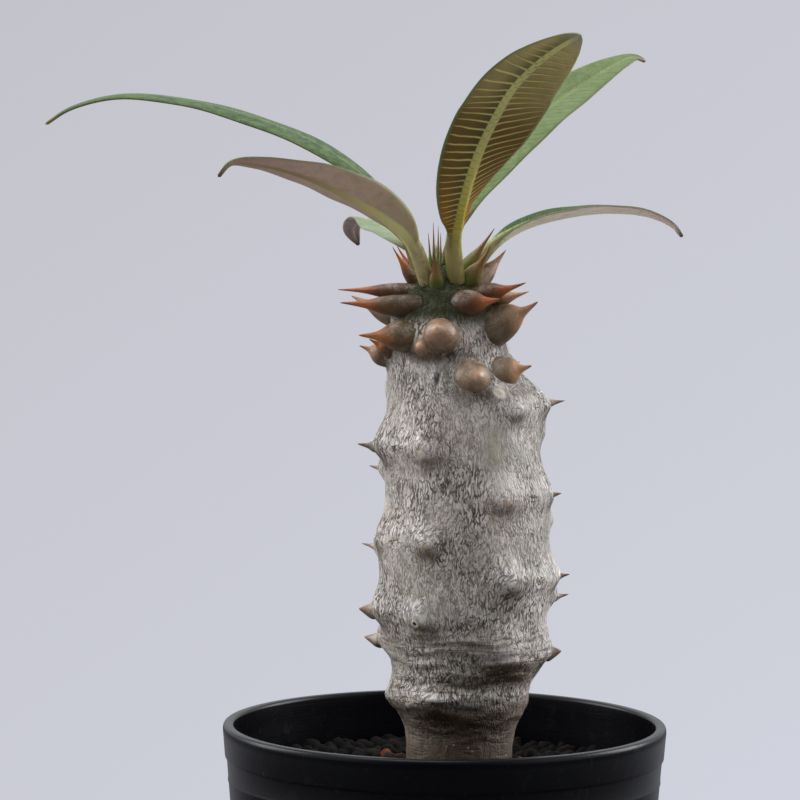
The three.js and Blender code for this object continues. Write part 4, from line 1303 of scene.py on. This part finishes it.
# What most of the leaves have in common, and then each leaf's own look
COMMON_LOOK = {
    "vein_slopes": (0.3, 0.4, 0.3, 0.4), "vein_spacing": 1.8, "vein_width": 0.12, "veins_above": 0.22,
    "veins_below": 0.5, "rib_above": 0.6, "band": 0.0, "margins": (0.5, 0.5), "stalk": (104, 90, 40),
    "upper": (92, 124, 72), "bloom": (126, 154, 112),
}
LEAF_LOOKS = {
    "leaf_1": {
        "under": ((158, 98, 18), (108, 80, 20), (172, 158, 98)),
        "rib": ((168, 156, 60), (190, 184, 114)), "vein": (210, 200, 112), "tip": (150, 146, 118),
        "vein_slopes": (0.32, -0.15, 0.28, 1.0), "vein_spacing": 1.9, "vein_width": 0.2, "veins_below": 1.0,
        "band": 0.6, "margins": (0.7, 0.0), "stalk": (150, 138, 82),
    },
    "leaf_2": {
        "upper": (96, 128, 88), "under": ((168, 148, 110), (180, 154, 130), (160, 130, 112)),
        "rib": ((196, 188, 124), (152, 126, 88)), "vein": (188, 164, 138), "tip": (92, 68, 68),
        "veins_below": 0.12, "margins": (0.2, 0.2), "stalk": (174, 160, 112),
    },
    "leaf_3": {
        "upper": (46, 68, 26), "bloom": (68, 90, 42),
        "under": ((222, 214, 178), (228, 212, 188), (206, 182, 166)),
        "rib": ((226, 220, 184), (222, 208, 180)), "vein": (216, 200, 176), "tip": (82, 62, 66),
        "veins_below": 0.1, "margins": (0.15, 0.15), "stalk": (150, 146, 92),
    },
    "leaf_4": {
        "upper": (42, 68, 24), "bloom": (88, 108, 64), "rib_above": 0.1, "veins_above": 0.12,
        "under": ((142, 140, 90), (140, 136, 96), (128, 112, 84)),
        "rib": ((170, 172, 120), (150, 148, 100)), "vein": (150, 142, 104), "tip": (128, 112, 74),
    },
    "leaf_5": {
        "upper": (122, 138, 104), "bloom": (144, 158, 124),
        "under": ((150, 134, 120), (152, 134, 124), (142, 122, 116)),
        "rib": ((170, 158, 132), (156, 138, 120)), "vein": (150, 134, 120), "tip": (74, 56, 62),
    },
    "leaf_6": {
        "upper": (88, 108, 56), "bloom": (112, 128, 82), "rib_above": 0.15, "veins_above": 0.2,
        "under": ((138, 128, 96), (128, 110, 92), (120, 98, 84)),
        "rib": ((170, 172, 122), (160, 156, 116)), "vein": (150, 142, 104), "tip": (116, 92, 74),
    },
}


# Camera, light and surroundings

VIEW_FROM = Vector((-9.477, -644.798, 184.905)) * MM
VIEW_TILT = 3.5
VIEW_ROLL = 0.4
VIEW_ANGLE = 14.237
BACKDROP_LEFT = (195, 195, 203)
BACKDROP_RIGHT = (208, 210, 221)
VIEW_WIDTH = 0.25
VIEW_TOP = 0.063
LIGHT_TARGET = Vector((0, 0, 0.12))

# Place and diameter in metres, power in watts, colour
SOFTBOXES = {
    "right_softbox": ((1.2, 0.35, 0.6), 0.9, 14.2, (0.975, 0.98, 1.0)),
    "left_softbox": ((-1.2, 0.3, 0.6), 0.9, 10.0, (0.975, 0.98, 1.0)),
    "overhead_softbox": ((-0.3, -0.28, 1.2), 1.0, 8.0, (1.0, 0.985, 0.96)),
}


def set_camera():
    camera = bpy.data.objects.new("camera", bpy.data.cameras.new("camera"))
    bpy.context.collection.objects.link(camera)
    camera.data.sensor_width = 36
    camera.data.lens = 18 / math.tan(math.radians(VIEW_ANGLE / 2))
    camera.data.clip_start = 0.05
    camera.data.clip_end = 50
    camera.data.dof.use_dof = False
    tilt = Matrix.Rotation(math.radians(90 - VIEW_TILT), 4, "X")
    roll = Matrix.Rotation(math.radians(VIEW_ROLL), 4, "Z")
    camera.matrix_world = Matrix.Translation(VIEW_FROM) @ tilt @ roll
    bpy.context.scene.camera = camera


def area_light(name, place, size, power, colour):
    lamp = bpy.data.lights.new(name, "AREA")
    lamp.shape = "DISK"
    lamp.size = size
    lamp.energy = power
    lamp.color = colour
    holder = bpy.data.objects.new(name, lamp)
    bpy.context.collection.objects.link(holder)
    holder.location = place
    holder.rotation_euler = (LIGHT_TARGET - Vector(place)).to_track_quat("-Z", "Y").to_euler()


def backdrop(graph, toward):
    """The backdrop's colour in a direction seen from the camera: paler to the right and below."""
    across, _, up = graph.parts(toward)
    share = 0.4 * (across / VIEW_WIDTH + 0.5) + 0.6 * (VIEW_TOP - up) / VIEW_WIDTH
    return graph.mix(share.atleast(0.0).upto(1.0), BACKDROP_LEFT, BACKDROP_RIGHT)


def set_world():
    """A studio that is bright overhead and at both sides, and dark behind the camera."""
    world = bpy.data.worlds.new("studio")
    bpy.context.scene.world = world
    world.use_nodes = True
    studio = Graph(world.node_tree)
    toward = studio.node("ShaderNodeTexCoord", output="Generated")
    across, deep, up = studio.parts(toward)
    sides = across.size().ramp(0.35, 0.95)
    behind = 0.6 * deep.ramp(-0.1, 0.6)
    strength = 0.03 + sides.atleast(behind) + 0.45 * up.ramp(0.05, 0.7)
    room = studio.node("ShaderNodeBackground", {}, {"Color": (0.92, 0.955, 1.0, 1.0), "Strength": strength})
    seen = studio.node("ShaderNodeBackground", {}, {"Color": backdrop(studio, toward), "Strength": 1.0})
    camera = studio.node("ShaderNodeLightPath", output="Is Camera Ray")
    both = studio.node("ShaderNodeMixShader", {}, {0: camera, 1: room, 2: seen})
    world.node_tree.links.new(both.socket, world.node_tree.nodes["World Output"].inputs["Surface"])


def make_floor():
    deselect_all()
    bpy.ops.mesh.primitive_circle_add(vertices=96, radius=12.0, fill_type="NGON")
    floor = named("studio_floor")
    paint = Paint("pale_floor")
    paint.finish(srgb(214, 215, 222), 0.8, specular=0.1)
    place = paint.place()
    far = paint.vector("LENGTH", place, output="Value").ramp(150, 330)
    toward = paint.vector("NORMALIZE", paint.shift(place, -VIEW_FROM / MM))
    tint = backdrop(paint, toward)
    seen = paint.node("ShaderNodeLightPath", output="Is Camera Ray")
    mirrored = paint.node("ShaderNodeLightPath", output="Is Glossy Ray")
    _, deep, _ = paint.parts(place)
    glow = paint.node("ShaderNodeEmission", {}, {"Color": tint, "Strength": 0.3 + 0.7 * seen})
    dim = 0.02 + 0.3 * deep.ramp(-40, 320)
    in_gloss = paint.node("ShaderNodeEmission", {}, {"Color": tint, "Strength": dim})
    surface = Wire(paint, paint.shader.outputs[0])
    both = paint.node("ShaderNodeMixShader", {}, {0: far, 1: surface, 2: glow})
    both = paint.node("ShaderNodeMixShader", {}, {0: mirrored, 1: both, 2: in_gloss})
    paint.tree.links.new(both.socket, paint.tree.nodes["Material Output"].inputs["Surface"])
    floor.data.materials.append(paint.material)


def set_surroundings():
    bpy.context.scene.view_settings.view_transform = "Standard"
    set_world()
    make_floor()
    for name, (place, size, power, colour) in SOFTBOXES.items():
        area_light(name, place, size, power, colour)


set_camera()
set_surroundings()
dress(make_pot(), pot_finish(), "pot", "pot")
dress(make_soil(), soil_finish(), "soil", "soil")
dress(make_stem_skin(), bark_finish(), "stem", "stem")
dress(make_thorns(), thorn_finish(), "stem", "stem")
dress(make_hairs(), hair_finish(), "stem")
for leaf_name, leaf_shape in LEAVES.items():
    leaf_material = leaf_finish(leaf_name + "_skin", {**COMMON_LOOK, **LEAF_LOOKS[leaf_name]})
    dress(make_leaf(leaf_name, {**COMMON_SHAPE, **leaf_shape}), leaf_material, "leaf", leaf_name)
